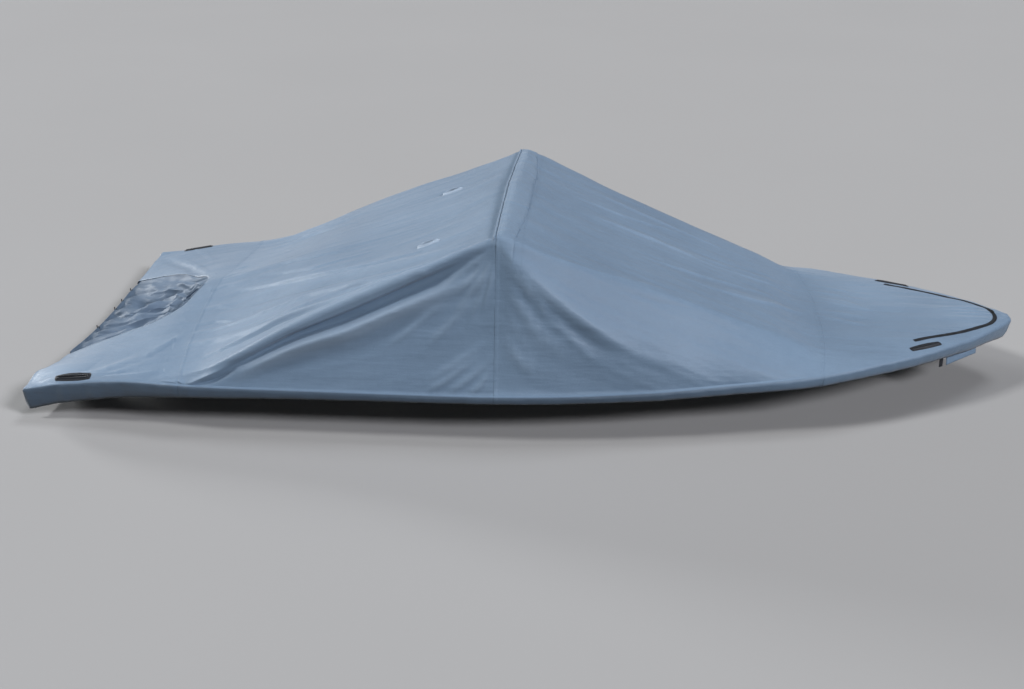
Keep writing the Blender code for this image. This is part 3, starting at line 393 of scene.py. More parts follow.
# The slider: half its outline, its two wings (low, high, scale), and its bridge and the
# two parts of its pull (start, end, half width, low, high).
SLIDER_OUTLINE = ((-0.017, 0.0050), (-0.012, 0.0074), (0.004, 0.0080), (0.013, 0.0066),
                  (0.017, 0.0030))
SLIDER_WINGS = ((0.0042, 0.0058, 1.0), (0.0078, 0.0092, 0.86))
SLIDER_BARS = ((0.002, 0.010, 0.0022, 0.0055, 0.0080), (-0.004, 0.004, 0.0030, 0.0090, 0.0112),
               (-0.016, -0.003, 0.0042, 0.0094, 0.0108))
SLIDER_BEVEL = 0.0004

POCKET_ROWS = 112
POCKET_COLUMNS = 300
POCKET_SINK = 0.0014    # the pocket lies this far under the deck's edge
POCKET_SWELL = 0.012
# The pocket's sharp folds: height, cells along, a shift, cells across and seed.
POCKET_FOLDS = ((0.030, 2.0, 0.0, 6.5, 42), (0.013, 4.0, 5.0, 11.0, 43))
POCKET_CRINKLE = 0.0030
POCKET_BEND = 0.16      # how far its folds wander
POCKET_LEAN = 0.07
PLEAT = 0.015           # pleats that run up from the hem, and their reach
PLEAT_REACH = 0.14
POCKET_SHADE = (0.70, 0.020)    # painted shade in folds this deep, and at the hem
POCKET_HEM_SHADE = (0.58, 0.09)
POCKET_SHADE_MOST = 0.85
HEM_ROLL = (60.0, 290.0)    # the hem wraps the cord between these angles, from forward to under
HEM_ROLL_ROWS = 9
HEM_ROLL_CLEAR = 0.0014
HEM_ROLL_UNEVEN = 0.0012
HEM_WINDOWS = ((0.41, 0.020), (0.63, 0.026), (0.955, 0.020))    # places where the cord shows
TUBE_SIDES = 12


# ---------------------------------------------------------------- small tools
def smooth(a, start, end):
    """0 before start, 1 after end and eased between them."""
    t = np.clip((a - start) / (end - start), 0.0, 1.0)
    return t * t * (3.0 - 2.0 * t)


def monotone(table_x, table_y, x):
    """Smooth curve through a table, without overshoot."""
    steps = np.diff(table_x)
    slopes = np.diff(table_y) / steps
    tangents = np.zeros(len(table_x))
    tangents[0] = slopes[0]
    tangents[-1] = slopes[-1]
    for i in range(1, len(table_x) - 1):
        if slopes[i - 1] * slopes[i] > 0.0:
            before = 2.0 * steps[i] + steps[i - 1]
            after = steps[i] + 2.0 * steps[i - 1]
            tangents[i] = (before + after) / (before / slopes[i - 1] + after / slopes[i])
    x = np.clip(x, table_x[0], table_x[-1])
    i = np.clip(np.searchsorted(table_x, x, side="right") - 1, 0, len(steps) - 1)
    t = (x - table_x[i]) / steps[i]
    first = ((1.0 + 2.0 * t) * (1.0 - t) ** 2 * table_y[i]
             + t ** 2 * (3.0 - 2.0 * t) * table_y[i + 1])
    second = t * (1.0 - t) ** 2 * tangents[i] - t ** 2 * (1.0 - t) * tangents[i + 1]
    return first + second * steps[i]


def catmull(table, fine):
    """A smooth curve through evenly spaced points, at shares from 0 to 1."""
    step = 1.0 / (len(table) - 1)
    padded = np.concatenate(([2 * table[0] - table[1]], table, [2 * table[-1] - table[-2]]))
    i = np.clip((fine / step).astype(int), 0, len(table) - 2)
    t = fine / step - i
    p0, p1, p2, p3 = (padded[i + k] for k in range(4))
    return 0.5 * (2 * p1 + (p2 - p0) * t + (2 * p0 - 5 * p1 + 4 * p2 - p3) * t ** 2
                  + (3 * p1 - p0 - 3 * p2 + p3) * t ** 3)


def noise(a, b, seed):
    """Smooth noise from about -1 to 1 over a plane with cells 1 by 1."""
    size = 64
    angles = np.random.default_rng(seed).uniform(0.0, 2.0 * math.pi, (size, size))
    i = np.floor(a).astype(int)
    j = np.floor(b).astype(int)
    p = a - i
    q = b - j
    ease_p = p ** 3 * (p * (p * 6.0 - 15.0) + 10.0)
    ease_q = q ** 3 * (q * (q * 6.0 - 15.0) + 10.0)
    total = 0.0
    for di in (0, 1):
        for dj in (0, 1):
            angle = angles[(i + di) % size, (j + dj) % size]
            slope = np.cos(angle) * (p - di) + np.sin(angle) * (q - dj)
            weight = (ease_p if di else 1.0 - ease_p) * (ease_q if dj else 1.0 - ease_q)
            total = total + weight * slope
    return 1.5 * total


def ridged(a, b, seed):
    """Noise whose crests are sharp, from about -1 to 1."""
    return 1.0 - 2.6 * np.abs(noise(a, b, seed))


def unit(vectors):
    """The same vectors at length 1."""
    return vectors / np.maximum(np.linalg.norm(vectors, axis=-1, keepdims=True), 1e-12)


def run_along(path):
    """The length along a path at each of its points."""
    return np.concatenate(([0.0], np.cumsum(np.linalg.norm(np.diff(path, axis=0), axis=1))))


def sampled(at, run, table):
    """The points of a table that belong to the lengths run, read at others."""
    return np.stack([np.interp(at, run, table[:, k]) for k in range(3)], -1)


def soften(rows):
    """Draws each inner point of a row towards its neighbours."""
    rows[1:-1] = 0.25 * rows[:-2] + 0.5 * rows[1:-1] + 0.25 * rows[2:]


def facts_of(along, across, shade):
    """The facts of a cloth's points for its material: lengths both ways, and shade."""
    return np.stack(np.broadcast_arrays(along, across, shade), -1)


# ---------------------------------------------------------------- the cloth's shape
def column(name, x):
    """A column of SECTIONS at the stations x."""
    table = np.array(SECTIONS)
    return monotone(table[:, 0], table[:, COLUMNS.index(name)], x)


def corners(x):
    """The section's four corners at the stations x: their y and z, and the reach to each."""
    ys = (np.zeros(x.shape), column("crest_y", x), column("low_y", x), column("beam", x) - SHOULDER)
    zs = (column("crown", x), column("crest_z", x), column("low_z", x),
          column("rim", x) + SHOULDER_RISE)
    reach = [np.zeros(x.shape)]
    for k in range(3):
        reach.append(reach[-1] + np.hypot(ys[k + 1] - ys[k], zs[k + 1] - zs[k]))
    return ys, zs, reach


def reach_of(v, reach):
    """The signed length along the cloth to the places v."""
    return np.sign(v) * np.select(
        [np.abs(v) < CREST, np.abs(v) < LOW],
        [reach[1] * np.abs(v) / CREST,
         reach[1] + (reach[2] - reach[1]) * (np.abs(v) - CREST) / (LOW - CREST)],
        reach[2] + (reach[3] - reach[2]) * (np.abs(v) - LOW) / (1.0 - LOW))


def flat_section(ys, zs, reach, run):
    """y and z of the flat-sided section at the signed length run."""
    length = np.abs(run)
    y = np.zeros(run.shape)
    z = np.zeros(run.shape)
    for k in range(3):
        share = (length - reach[k]) / (reach[k + 1] - reach[k])
        here = (length >= reach[k]) if k else np.ones(run.shape, bool)
        y = np.where(here, ys[k] + share * (ys[k + 1] - ys[k]), y)
        z = np.where(here, zs[k] + share * (zs[k + 1] - zs[k]), z)
    return y * np.sign(run), z


def section(x, v):
    """The rounded section at stations x and places v: y, z and the length along the cloth."""
    x = np.broadcast_to(x, v.shape)
    ys, zs, reach = corners(x)
    run = reach_of(v, reach)
    aft, ahead, low = HIP_SOFT
    soft = aft + (ahead - aft) * smooth(x, *HIP_RIDGE)
    soft = soft + low * smooth(x, *HIP_AHEAD) * smooth(np.abs(v), *HIP_FOOT)
    total_y, total_z, total = 0.0, 0.0, 0.0
    for tap in range(-BLUR_TAPS, BLUR_TAPS + 1):
        weight = math.exp(-0.5 * (tap / BLUR_SPREAD) ** 2)
        y, z = flat_section(ys, zs, reach, run + 0.5 * tap * soft)
        total_y = total_y + weight * y
        total_z = total_z + weight * z
        total += weight
    return total_y / total, total_z / total, run


def folds_over(x, run, table, power):
    """The height that a table of folds gives at stations x and lengths run."""
    height = np.zeros(x.shape)
    for x0, v0, x1, v1, x2, v2, width, rise in table:
        stations = np.array((x0, x1, x2))
        places = reach_of(np.array((v0, v1, v2)), corners(stations)[2])
        best = np.full(x.shape, FAR_OFF)
        along = np.zeros(x.shape)
        for k in range(2):
            dx = stations[k + 1] - stations[k]
            ds = places[k + 1] - places[k]
            t = ((x - stations[k]) * dx + (run - places[k]) * ds) / (dx * dx + ds * ds)
            t = np.clip(t, 0.0, 1.0)
            distance = np.hypot(x - stations[k] - t * dx, run - places[k] - t * ds)
            along = np.where(distance < best, (k + t) / 2.0, along)
            best = np.minimum(best, distance)
        taper = np.sin(math.pi * np.clip(TAPER + (1.0 - 2.0 * TAPER) * along, 0.0, 1.0))
        height += rise * taper * np.exp(-((best / (0.5 * width)) ** power))
    return height


def seam(ends, v):
    """x of a seam at the places v: an arc from its middle to each rim."""
    near, middle, far = ends
    end = np.where(v < 0.0, near, far)
    ys, zs, reach = corners(np.full(v.shape, middle))
    y = flat_section(ys, zs, reach, reach_of(v, reach))[0]
    return middle + (end - middle) * (y / column("beam", np.array([middle]))) ** 2


def relief(x, v, run):
    """The height of folds, creases, wrinkles and seam puckers over the rounded section."""
    height = folds_over(x, run, FOLDS, ROUND) + folds_over(x, run, CREASES, SHARP)
    height += FAR_SHARE * folds_over(x, -run, SIDE_CREASES, SHARP)
    height -= BESIDE_SHARE * folds_over(x, run + BESIDE, SLOPE_CREASES, ROUND)
    near_seam = np.full(x.shape, FAR_OFF)
    for number, ends in enumerate((AFT_SEAM, RIDGE_SEAM, BOW_SEAM)):
        away = np.abs(x - seam(ends, v))
        near_seam = np.minimum(near_seam, away)
        ripple = noise(run / PUCKER_CELL[0], x / PUCKER_CELL[1] + 7.0 * number,
                       PUCKER_SEED + number)
        height += PUCKER_DEPTH * ripple * np.exp(-away / PUCKER_REACH)
    loose = SEAM_CALM + (1.0 - SEAM_CALM) * smooth(near_seam, 0.0, SEAM_CALM_REACH)
    for along, across, depth, seed in WRINKLES:
        height += loose * depth * noise(x / along, run / across, seed)
    return height


def grid_normals(points):
    """Unit normals of a grid of points, upward on a deck."""
    return unit(np.cross(np.gradient(points, axis=0), np.gradient(points, axis=1)))


def base_normals(x, v):
    """Unit normals of the rounded section, the same on both sides of a seam."""
    x = np.maximum(x, SMALL)
    ahead, behind = section(x + SMALL, v), section(x - SMALL, v)
    upper, lower = section(x, v + SMALL), section(x, v - SMALL)
    along = np.stack((np.full(v.shape, 2.0 * SMALL), ahead[0] - behind[0],
                      ahead[1] - behind[1]), -1)
    across = np.stack((np.zeros(v.shape), upper[0] - lower[0], upper[1] - lower[1]), -1)
    return unit(np.cross(along, across))


def face(x, v, lift=0.0):
    """A grid of the outer face, raised by lift, and its facts."""
    y, z, run = section(x, v)
    height = relief(x, v, run)
    # painted shade in the bottom of each fold, carried to the material as the shade fact
    shade = FOLD_SHADE * np.clip(-height / FOLD_DEPTH, 0.0, 1.0)
    # painted highlight on the crest of each fold, as a shade fact below zero
    shade -= CREST_HIGHLIGHT * np.clip(height / CREST_HEIGHT, 0.0, 1.0)
    points = np.stack((x, y, z), -1) + base_normals(x, v) * (height + lift)[..., None]
    return points, facts_of(x, run, shade)


def spots(x, v, lift=0.0):
    """Points on the finished cloth at the stations x and places v, and normals there."""
    steps = np.array((-SPOT_STEP, 0.0, SPOT_STEP))
    dx, dv = np.meshgrid(steps, steps, indexing="ij")
    points = face(x + dx[..., None], v + dv[..., None])[0]
    normal = grid_normals(points)[1, 1]
    return points[1, 1] + normal * np.asarray(lift)[..., None], normal


@np.vectorize
def place_at(x, y):
    """The place in the section at x whose y is given."""
    places = np.linspace(0.0, 1.0, 401)
    ys, zs, reach = corners(np.full(len(places), x))
    across = flat_section(ys, zs, reach, reach_of(places, reach))[0]
    return math.copysign(np.interp(abs(y), across, places), y)


# ---------------------------------------------------------------- meshes
def moved(points):
    """Laid-out points in the part's own frame."""
    return np.asarray(points) - np.array((RIDGE_X, 0.0, MOUNT_Z))


def placed(name, data):
    """A new object in the scene."""
    thing = bpy.data.objects.new(name, data)
    bpy.context.scene.collection.objects.link(thing)
    return thing


def made_from(name, mesh):
    """A new object from an edited mesh."""
    data = bpy.data.meshes.new(name)
    mesh.to_mesh(data)
    mesh.free()
    return placed(name, data)


def mesh_object(name, points, faces, facts=None):
    """An object of laid-out points and faces, with a vector of facts at each point."""
    data = bpy.data.meshes.new(name)
    data.from_pydata(moved(points).tolist(), [], [list(map(int, f)) for f in faces])
    if facts is not None:
        layer = data.attributes.new("cloth", "FLOAT_VECTOR", "POINT")
        layer.data.foreach_set("vector", np.asarray(facts, float).ravel())
    return placed(name, data)


def tidy_mesh(thing, merge, caps=0):
    """Welds equal points and turns the faces up, or closes a tube's ends of so many sides."""
    mesh = bmesh.new()
    mesh.from_mesh(thing.data)
    bmesh.ops.remove_doubles(mesh, verts=mesh.verts, dist=merge)
    loose = [vertex for vertex in mesh.verts if not vertex.link_faces]
    bmesh.ops.delete(mesh, geom=loose, context="VERTS")
    if caps:
        bmesh.ops.holes_fill(mesh, edges=mesh.edges, sides=caps)
    bmesh.ops.recalc_face_normals(mesh, faces=mesh.faces)
    if not caps:
        top = max(mesh.faces, key=lambda face: face.calc_center_median().z)
        if top.normal.z < 0.0:
            bmesh.ops.reverse_faces(mesh, faces=mesh.faces)
    mesh.to_mesh(thing.data)
    mesh.free()
    thing.data.shade_smooth()


def apply_modifiers(thing):
    """Replaces an object's mesh by its evaluated mesh."""
    depsgraph = bpy.context.evaluated_depsgraph_get()
    data = bpy.data.meshes.new_from_object(thing.evaluated_get(depsgraph))
    thing.modifiers.clear()
    thing.data = data
    data.name = thing.name


def grid_object(name, grids, merge, holes=(), caps=0):
    """One mesh from grids of (points, facts), less its holes."""
    points, facts, faces = [], [], []
    start = 0
    for grid, fact in grids:
        rows, columns = grid.shape[:2]
        i, j = np.meshgrid(np.arange(rows - 1), np.arange(columns - 1), indexing="ij")
        a = start + i * columns + j
        faces.append(np.stack((a, a + columns, a + columns + 1, a + 1), -1).reshape(-1, 4))
        points.append(grid.reshape(-1, 3))
        facts.append(fact.reshape(-1, 3))
        start += rows * columns
    points = np.concatenate(points)
    faces = np.concatenate(faces)
    for spot, mouth in holes:
        faces = pierced(points, faces, spot, mouth)
    thing = mesh_object(name, points, faces, np.concatenate(facts))
    tidy_mesh(thing, merge, caps)
    return thing


def sheet(name, grids, thickness=CLOTH, outward=False, holes=(), merge=WELD):
    """A sheet of cloth from grids of (points, facts), less its holes, with its thickness."""
    thing = grid_object(name, grids, merge, holes)
    solid = thing.modifiers.new("thickness", "SOLIDIFY")
    solid.thickness = thickness
    solid.offset = 1.0 if outward else -1.0
    apply_modifiers(thing)
    return thing


def swept(name, path, radii, shade=0.0):
    """A closed round tube through a path with a radius at each point."""
    tangent = unit(np.gradient(path, axis=0))
    side = unit(np.cross(tangent, (0.0, 0.0, 1.0)))
    up = np.cross(side, tangent)
    angles = np.linspace(0.0, 2.0 * math.pi, TUBE_SIDES, endpoint=False)[:, None]
    ring = np.cos(angles) * side[:, None] + np.sin(angles) * up[:, None]
    points = path[:, None] + ring * np.broadcast_to(radii, len(path))[:, None, None]
    points = np.concatenate((points, points[:, :1]), axis=1)
    turns = np.linspace(0.0, 1.0, TUBE_SIDES + 1)
    facts = facts_of(run_along(path)[:, None], turns, shade)
    return grid_object(name, [(points, facts)], TUBE_WELD, caps=TUBE_SIDES)


def chains(name, rings):
    """Many small pieces as one mesh, each of four rings of four points."""
    points = np.stack(rings, 1)
    faces = [(3, 2, 1, 0), (12, 13, 14, 15)]
    for ring in (0, 4, 8):
        for k in range(4):
            a, b = ring + k, ring + (k + 1) % 4
            faces.append((a, b, b + 4, a + 4))
    each = (np.arange(len(points)) * len(rings))[:, None, None]
    thing = mesh_object(name, points.reshape(-1, 3), (each + np.array(faces)).reshape(-1, 4))
    thing.data.shade_smooth()
    return thing


def prism(mesh, ring, low, high):
    """Adds the closed prism over a ring of plan points between two heights."""
    bottom = [mesh.verts.new((a, b, low)) for a, b in ring]
    top = [mesh.verts.new((a, b, high)) for a, b in ring]
    mesh.faces.new(bottom[::-1])
    mesh.faces.new(top)
    for i in range(len(ring)):
        j = (i + 1) % len(ring)
        mesh.faces.new((bottom[i], bottom[j], top[j], top[i]))


def slot_distance(x, y, spot, mouth):
    """Distance to a slot's round-ended outline in plan, negative inside, and its gradient."""
    length, width = mouth
    cos, sin = math.cos(math.radians(spot[2])), math.sin(math.radians(spot[2]))
    along = (x - spot[0]) * cos + (y - spot[1]) * sin
    across = -(x - spot[0]) * sin + (y - spot[1]) * cos
    half = 0.5 * (length - width)
    over = along - np.clip(along, -half, half)
    away = np.maximum(np.hypot(over, across), 1e-9)
    gradient = (over / away * cos - across / away * sin, over / away * sin + across / away * cos)
    return away - 0.5 * width, gradient


def pierced(points, faces, spot, mouth):
    """Moves the points near a slot's outline onto it and drops the faces inside."""
    away, gradient = slot_distance(points[:, 0], points[:, 1], spot, mouth)
    snap = np.abs(away) < SNAP
    for k in range(2):
        points[snap, k] -= away[snap] * gradient[k][snap]
    centre = points[faces].mean(axis=1)
    return faces[slot_distance(centre[:, 0], centre[:, 1], spot, mouth)[0] >= 0.0]


# ---------------------------------------------------------------- spacing of the mesh
def spaced(start, end, table):
    """Values from start to end whose spacing follows a table of values and steps."""
    fine = np.linspace(start, end, 4000)
    values, steps = np.array(table).T
    density = 1.0 / np.interp(fine, values, steps)
    count = np.concatenate(([0.0], np.cumsum(0.5 * (density[1:] + density[:-1]) * np.diff(fine))))
    return np.interp(np.linspace(0.0, count[-1], int(round(count[-1])) + 1), count, fine)


def edge_steps(start, end, table):
    """Stations along a panel, closer together near its two seams."""
    close = np.array(EDGE_STEPS)
    return np.concatenate((start + close, spaced(start + EDGE_END, end - EDGE_END, table),
                           end - close[::-1]))


def place_lines(x, *steps):
    """Places from shoulder to shoulder at station x, for steps along the cloth.

    The steps are those at the near rim, the near hip, the middle, the far hip and the
    far rim; one step alone holds everywhere.
    """
    ends = np.array([r[0] for r in corners(np.array([x]))[2]])
    at = (-ends[3], -0.85 * ends[1], -0.6 * ends[1], 0.0, ends[1], ends[3])
    near_rim, near_hip, middle, far_hip, far_rim = steps if len(steps) > 1 else steps * 5
    table = tuple(zip(at, (near_rim, near_hip, middle, middle, far_hip, far_rim)))
    run = spaced(-ends[3], ends[3], table)
    return np.sign(run) * np.interp(np.abs(run), ends, (0.0, CREST, LOW, 1.0))


def refined(values, places, reach, step):
    """Sorted values with extra ones, step apart, around each of the places."""
    extra = [np.arange(place - reach, place + reach, step) for place in places]
    kept = [v for v in values
            if all(abs(v - place) > reach + 0.5 * step for place in places)]
    return np.unique(np.concatenate([np.array(kept)] + extra))


def panel_grid(start, end, extra, steps, places):
    """Stations x and places v of a panel's grid, which runs on past its two seams."""
    shares = ((steps - steps[0]) / (steps[-1] - steps[0]))[:, None]
    first = seam(start, places) - extra[0]
    last = seam(end, places) + extra[1]
    x = first + shares * (last - first)
    return x, np.broadcast_to(places, x.shape)


def mirrored(spot):
    """A place on the near side and its twin on the far side."""
    x, y, heading = spot
    return (x, -y, -heading), (x, y, heading)


# ---------------------------------------------------------------- panels
def skirt(chain, square_ends, lowered=0.0):
    """The rim and hem skirt below a chain of shoulder points, and the facts of its cloth.

    lowered is how far the chain lies under a neighbour.
    """
    tangent = np.gradient(chain[:, :2], axis=0)
    outward = unit(np.stack((tangent[:, 1], -tangent[:, 0]), -1))
    middle = len(chain) // 2
    if np.sum((chain[middle, :2] - (RIDGE_X, 0.0)) * outward[middle]) < 0.0:
        outward = -outward
    for end in square_ends:
        outward[end] = (0.0, math.copysign(1.0, chain[end, 1]))
    for _ in range(3):
        soften(outward)
        outward = unit(outward)
    length = run_along(chain)
    start = chain[0, 0] * 3.0 + chain[0, 1]     # each skirt ripples in its own way
    drop = column("drop", chain[:, 0])
    ends = np.abs(outward[:, 0]) ** 2
    lit = 1.0 - smooth(chain[:, 0], *HEM_SHADE_FADE)
    rows, facts = [], []
    table = np.array(SKIRT)
    fine = np.linspace(0.0, len(table) - 1.0, SKIRT_ROWS)
    profile = [monotone(np.arange(float(len(table))), table[:, k], fine) for k in range(3)]
    for down, step, fall, share in zip(np.linspace(0.0, 1.0, SKIRT_ROWS), *profile):
        ripple = sum(height * noise(length / cell + start, down * across, seed)
                     for height, cell, across, seed in RIPPLES)
        ripple *= STERN_RIPPLE - (STERN_RIPPLE - 1.0) * smooth(chain[:, 0], *STERN_REACH)
        bulge = ripple * smooth(down, *RIPPLE_ROWS) - lowered * min(1.0, 3.0 * down)
        row = chain.copy()
        row[:, :2] += outward * (step - END_TUCK * ends * share + bulge)[:, None]
        row[:, 2] -= fall + share * drop
        rows.append(row)
        # painted shade on the skirt from its turn downward, fading out towards the bow
        dark = HEM_SHADE * smooth(fall + share * drop, 0.0, HEM_SHADE_REACH) * lit
        facts.append(facts_of(length + start, 2.0 + fall + share * drop, dark))
    return np.stack(rows, 0), np.stack(facts, 0)


def lap_height(x, v, ends, under, towards):
    """How a panel's edge lies at a seam: just under its neighbour, or riding over it.

    towards is 1 where the seam is at the panel's forward edge and -1 at its aft one.
    """
    beyond = (x - seam(ends, v)) * towards
    if under:
        return -LAP_DEPTH * smooth(beyond, -0.002, 0.001)
    return CLOTH * (1.0 - smooth(-beyond, *FELL))


def body_panel(name, start, end, table, laps, spot=None, mouth=None):
    """A panel from hem to hem: its face and its two skirts, with twin holes at a spot.

    laps says for the start and the end seam whether the panel's edge runs under.
    """
    extra = LAP * laps[0], LAP * laps[1]
    middle = start[1] - extra[0], end[1] + extra[1]
    steps = edge_steps(*middle, table)
    places = place_lines(0.5 * (middle[0] + middle[1]), *ACROSS_STEPS)
    holes = []
    if spot:
        holes = [(twin, mouth) for twin in mirrored(spot)]
        steps = refined(steps, [spot[0]], 0.5 * mouth[0] + 0.006, 0.005)
        beam = corners(np.array([spot[0]]))[0][1][0]
        centre = spot[1] / beam * CREST
        half = 0.5 * mouth[1] / beam * CREST
        places = refined(places, [-centre, centre], 2.2 * half, 0.5 * half)
    x, v = panel_grid(start, end, extra, steps, places)
    lift = (lap_height(x, v, start, laps[0], -1.0) + lap_height(x, v, end, laps[1], 1.0))
    points, facts = face(x, v, lift)
    grids = [(points, facts)]
    for edge in (0, -1):
        grids.append(skirt(points[:, edge], (0, -1), np.maximum(-lift[:, edge], 0.0)))
    return sheet(name, grids, holes=holes)


def aft_panel():
    return body_panel("aft_cloth", AFT_SEAM, RIDGE_SEAM, AFT_STEPS, (False, True), VENT, VENT_MOUTH)


def front_panel():
    return body_panel("front_cloth", RIDGE_SEAM, BOW_SEAM, FRONT_STEPS, (False, False))


def bow_panel():
    """The bow deck, whose skirt runs round the tip."""
    steps = edge_steps(BOW_SEAM[1] - LAP, BOW_TIP[1] - TIP_ROUND, BOW_STEPS)
    steps = refined(steps, [CLEAT_FORE[0]], 0.08, 0.005)
    centre = float(place_at(*CLEAT_FORE[:2]))
    places = refined(place_lines(4.2, 0.010), [-centre, centre], 0.055, 0.008)
    x, v = panel_grid(BOW_SEAM, BOW_TIP, (LAP, -TIP_ROUND), steps, places)
    lift = lap_height(x, v, BOW_SEAM, True, -1.0)
    points, facts = face(x, v, lift)
    chain = np.concatenate((points[:, 0], points[-1, 1:-1], points[::-1, -1]))
    lowered = np.maximum(-lift[:, 0], 0.0)
    lowered = np.concatenate((lowered, np.zeros(points.shape[1] - 2), lowered[::-1]))
    grids = [(points, facts), skirt(chain, (0, -1), lowered)]
    return sheet("bow_cloth", grids, holes=[(twin, CLEAT_MOUTH) for twin in mirrored(CLEAT_FORE)])


def pocket_width(station, side):
    """Half the pocket's width at a station, on one side."""
    table = np.array(POCKET_EDGE)
    width = monotone(table[:, 0], table[:, 1 if side < 0 else 2], station)
    last = table[-1, 0]
    tail = np.sqrt(np.clip((POCKET_APEX - station) / (POCKET_APEX - last), 0.0, 1.0))
    return np.where(station > last, width * tail, width)


def wing(side, stations, lines):
    """Stations and places of the deck beside the pocket, from its edge to the shoulder."""
    inner = place_at(stations, pocket_width(stations, side))
    v = (inner[:, None] + (1.0 - inner[:, None]) * lines[None, :]) * side
    x = stations[:, None] * seam(AFT_SEAM, v) / AFT_SEAM[1]
    return x, v


def stern_stations():
    """Stations along the after deck, closer at the hem, the apex and the seam."""
    even = np.linspace(0.0, 0.60, 58)
    end = np.array((0.605, 0.608, 0.611, 0.614, 0.617, 0.6195, 0.6212, POCKET_APEX))
    rest = np.array((0.632, 0.644, 0.656, 0.668, 0.678, 0.686, 0.692, 0.696, 0.700, 0.706, 0.714))
    return refined(np.concatenate((even, end, rest)), [CLEAT_AFT[0] * 0.88], 0.09, 0.005)


def stern_panel():
    """The after deck: two wings joined ahead of the pocket, with rim and transom skirt."""
    stations = stern_stations()
    lines = refined(np.linspace(0.0, 1.0, 62), [0.915], 0.05, 0.006)
    grids = []
    for side in (-1.0, 1.0):
        x, v = wing(side, stations, lines)
        lift = lap_height(x, v, AFT_SEAM, True, 1.0)
        edge = np.abs(v - v[:, :1])
        rolled = CLOTH * (1.0 - smooth(edge, 0.010, 0.014)) * (stations < POCKET_APEX)[:, None]
        points, facts = face(x, v, lift + rolled)
        chain = np.concatenate((points[::-1, -1], points[0, -2::-1]))
        lowered = np.concatenate((np.maximum(-lift[::-1, -1], 0.0), np.zeros(points.shape[1] - 1)))
        grids += [(points, facts), skirt(chain, (0,), lowered)]
    return sheet("stern_cloth", grids, holes=[(twin, CLEAT_MOUTH) for twin in mirrored(CLEAT_AFT)])


# ---------------------------------------------------------------- the well pocket and its cord
def pocket_edges(count):
    """The pocket's sewn edges, under the deck's: near and far rows from hem to apex."""
    stations = POCKET_APEX * (1.0 - (1.0 - np.linspace(0.0, 1.0, count)) ** 1.6)
    rows = []
    for side in (-1.0, 1.0):
        x, v = wing(side, stations, np.linspace(0.0, 0.3, 12))
        rows.append(face(x, v)[0][:, 0])
    return rows


def gathered(w):
    """How free the pocket is at shares w across it, and the wave of its gathers."""
    size, pace = GATHER_SKEW
    return (np.abs(np.sin(math.pi * w)) ** EDGE_FADE,
            np.sin(2.0 * math.pi * GATHERS * w + size * np.sin(pace * w)))


def pocket_grid():
    """The pocket before it is crumpled, its hem drawn into gathers by the cord."""
    near, far = pocket_edges(POCKET_ROWS)
    w = np.linspace(0.0, 1.0, POCKET_COLUMNS)
    free, wave = gathered(w)
    points = near[:, None] + (far - near)[:, None] * w[None, :, None]
    forward = np.linspace(0.0, 1.0, POCKET_ROWS)[:, None]
    hang = HEM_SAG * (1.0 - forward) + POCKET_DIP * np.sin(math.pi * forward ** DIP_LEAN)
    draw = GATHER_DEPTH * (1.0 - forward) ** GATHER_FADE
    points[..., 2] -= free * (hang - draw * wave)
    points[..., 0] += free * 0.5 * draw * wave
    return points


def crumple(points):
    """Sharp, irregular folds over the pocket, and pleats that run up from its hem."""
    rows, columns = points.shape[:2]
    s, w = np.meshgrid(np.linspace(0.0, 1.0, rows), np.linspace(0.0, 1.0, columns), indexing="ij")
    inside = (np.sin(math.pi * w) ** 0.5 * np.minimum(1.0, 7.0 * s)
              * np.minimum(1.0, 5.0 * (1.0 - s)))
    bend = POCKET_BEND * noise(3.0 * s, 4.0 * w, 44)
    lean = POCKET_LEAN * noise(3.0 * s + 9.0, 4.0 * w, 45)
    height = POCKET_SWELL * noise(2.2 * s + 3.0, 4.5 * w, 41)
    for rise, along, shift, across, seed in POCKET_FOLDS:
        height += rise * ridged(along * s + shift + bend, across * (w + lean), seed)
    height += POCKET_CRINKLE * ridged(9.0 * s, 28.0 * w + 2.0 * bend, 48)
    pleats = PLEAT * ridged(2.0 * s, 24.0 * w, 46) * np.exp(-s / PLEAT_REACH)
    height = height * inside + pleats * np.minimum(1.0, 25.0 * s) * np.sin(math.pi * w)
    # painted shade in the pocket's hollows and along its hem
    shade = POCKET_SHADE[0] * np.clip(-height / POCKET_SHADE[1], 0.0, 1.0)
    shade += POCKET_HEM_SHADE[0] * np.exp(-((s / POCKET_HEM_SHADE[1]) ** 1.5))
    return points + grid_normals(points) * height[..., None], np.minimum(shade, POCKET_SHADE_MOST)


def cord_route():
    """The cord's points, as in the part: just aft of the gathers, below the pocket's hem."""
    near, far = pocket_edges(40)
    w = np.linspace(0.0, 1.0, 4 * GATHERS + 1)
    free, wave = gathered(w)
    hem = near[0] + (far[0] - near[0]) * w[:, None]
    hem[:, 2] -= free * (HEM_SAG - GATHER_DEPTH * wave)
    hem[:, 0] += free * 0.5 * GATHER_DEPTH * wave
    lowest = hem[:, 2].min()
    for _ in range(CORD_SMOOTHING):
        soften(hem)
    path = hem[1:-1] - np.array((0.5 * GATHER_DEPTH + CORD_RADIUS + CORD_CLEAR, 0.0, 0.0))
    path[:, 2] = np.minimum(path[:, 2], lowest + CORD_RISE)
    return path


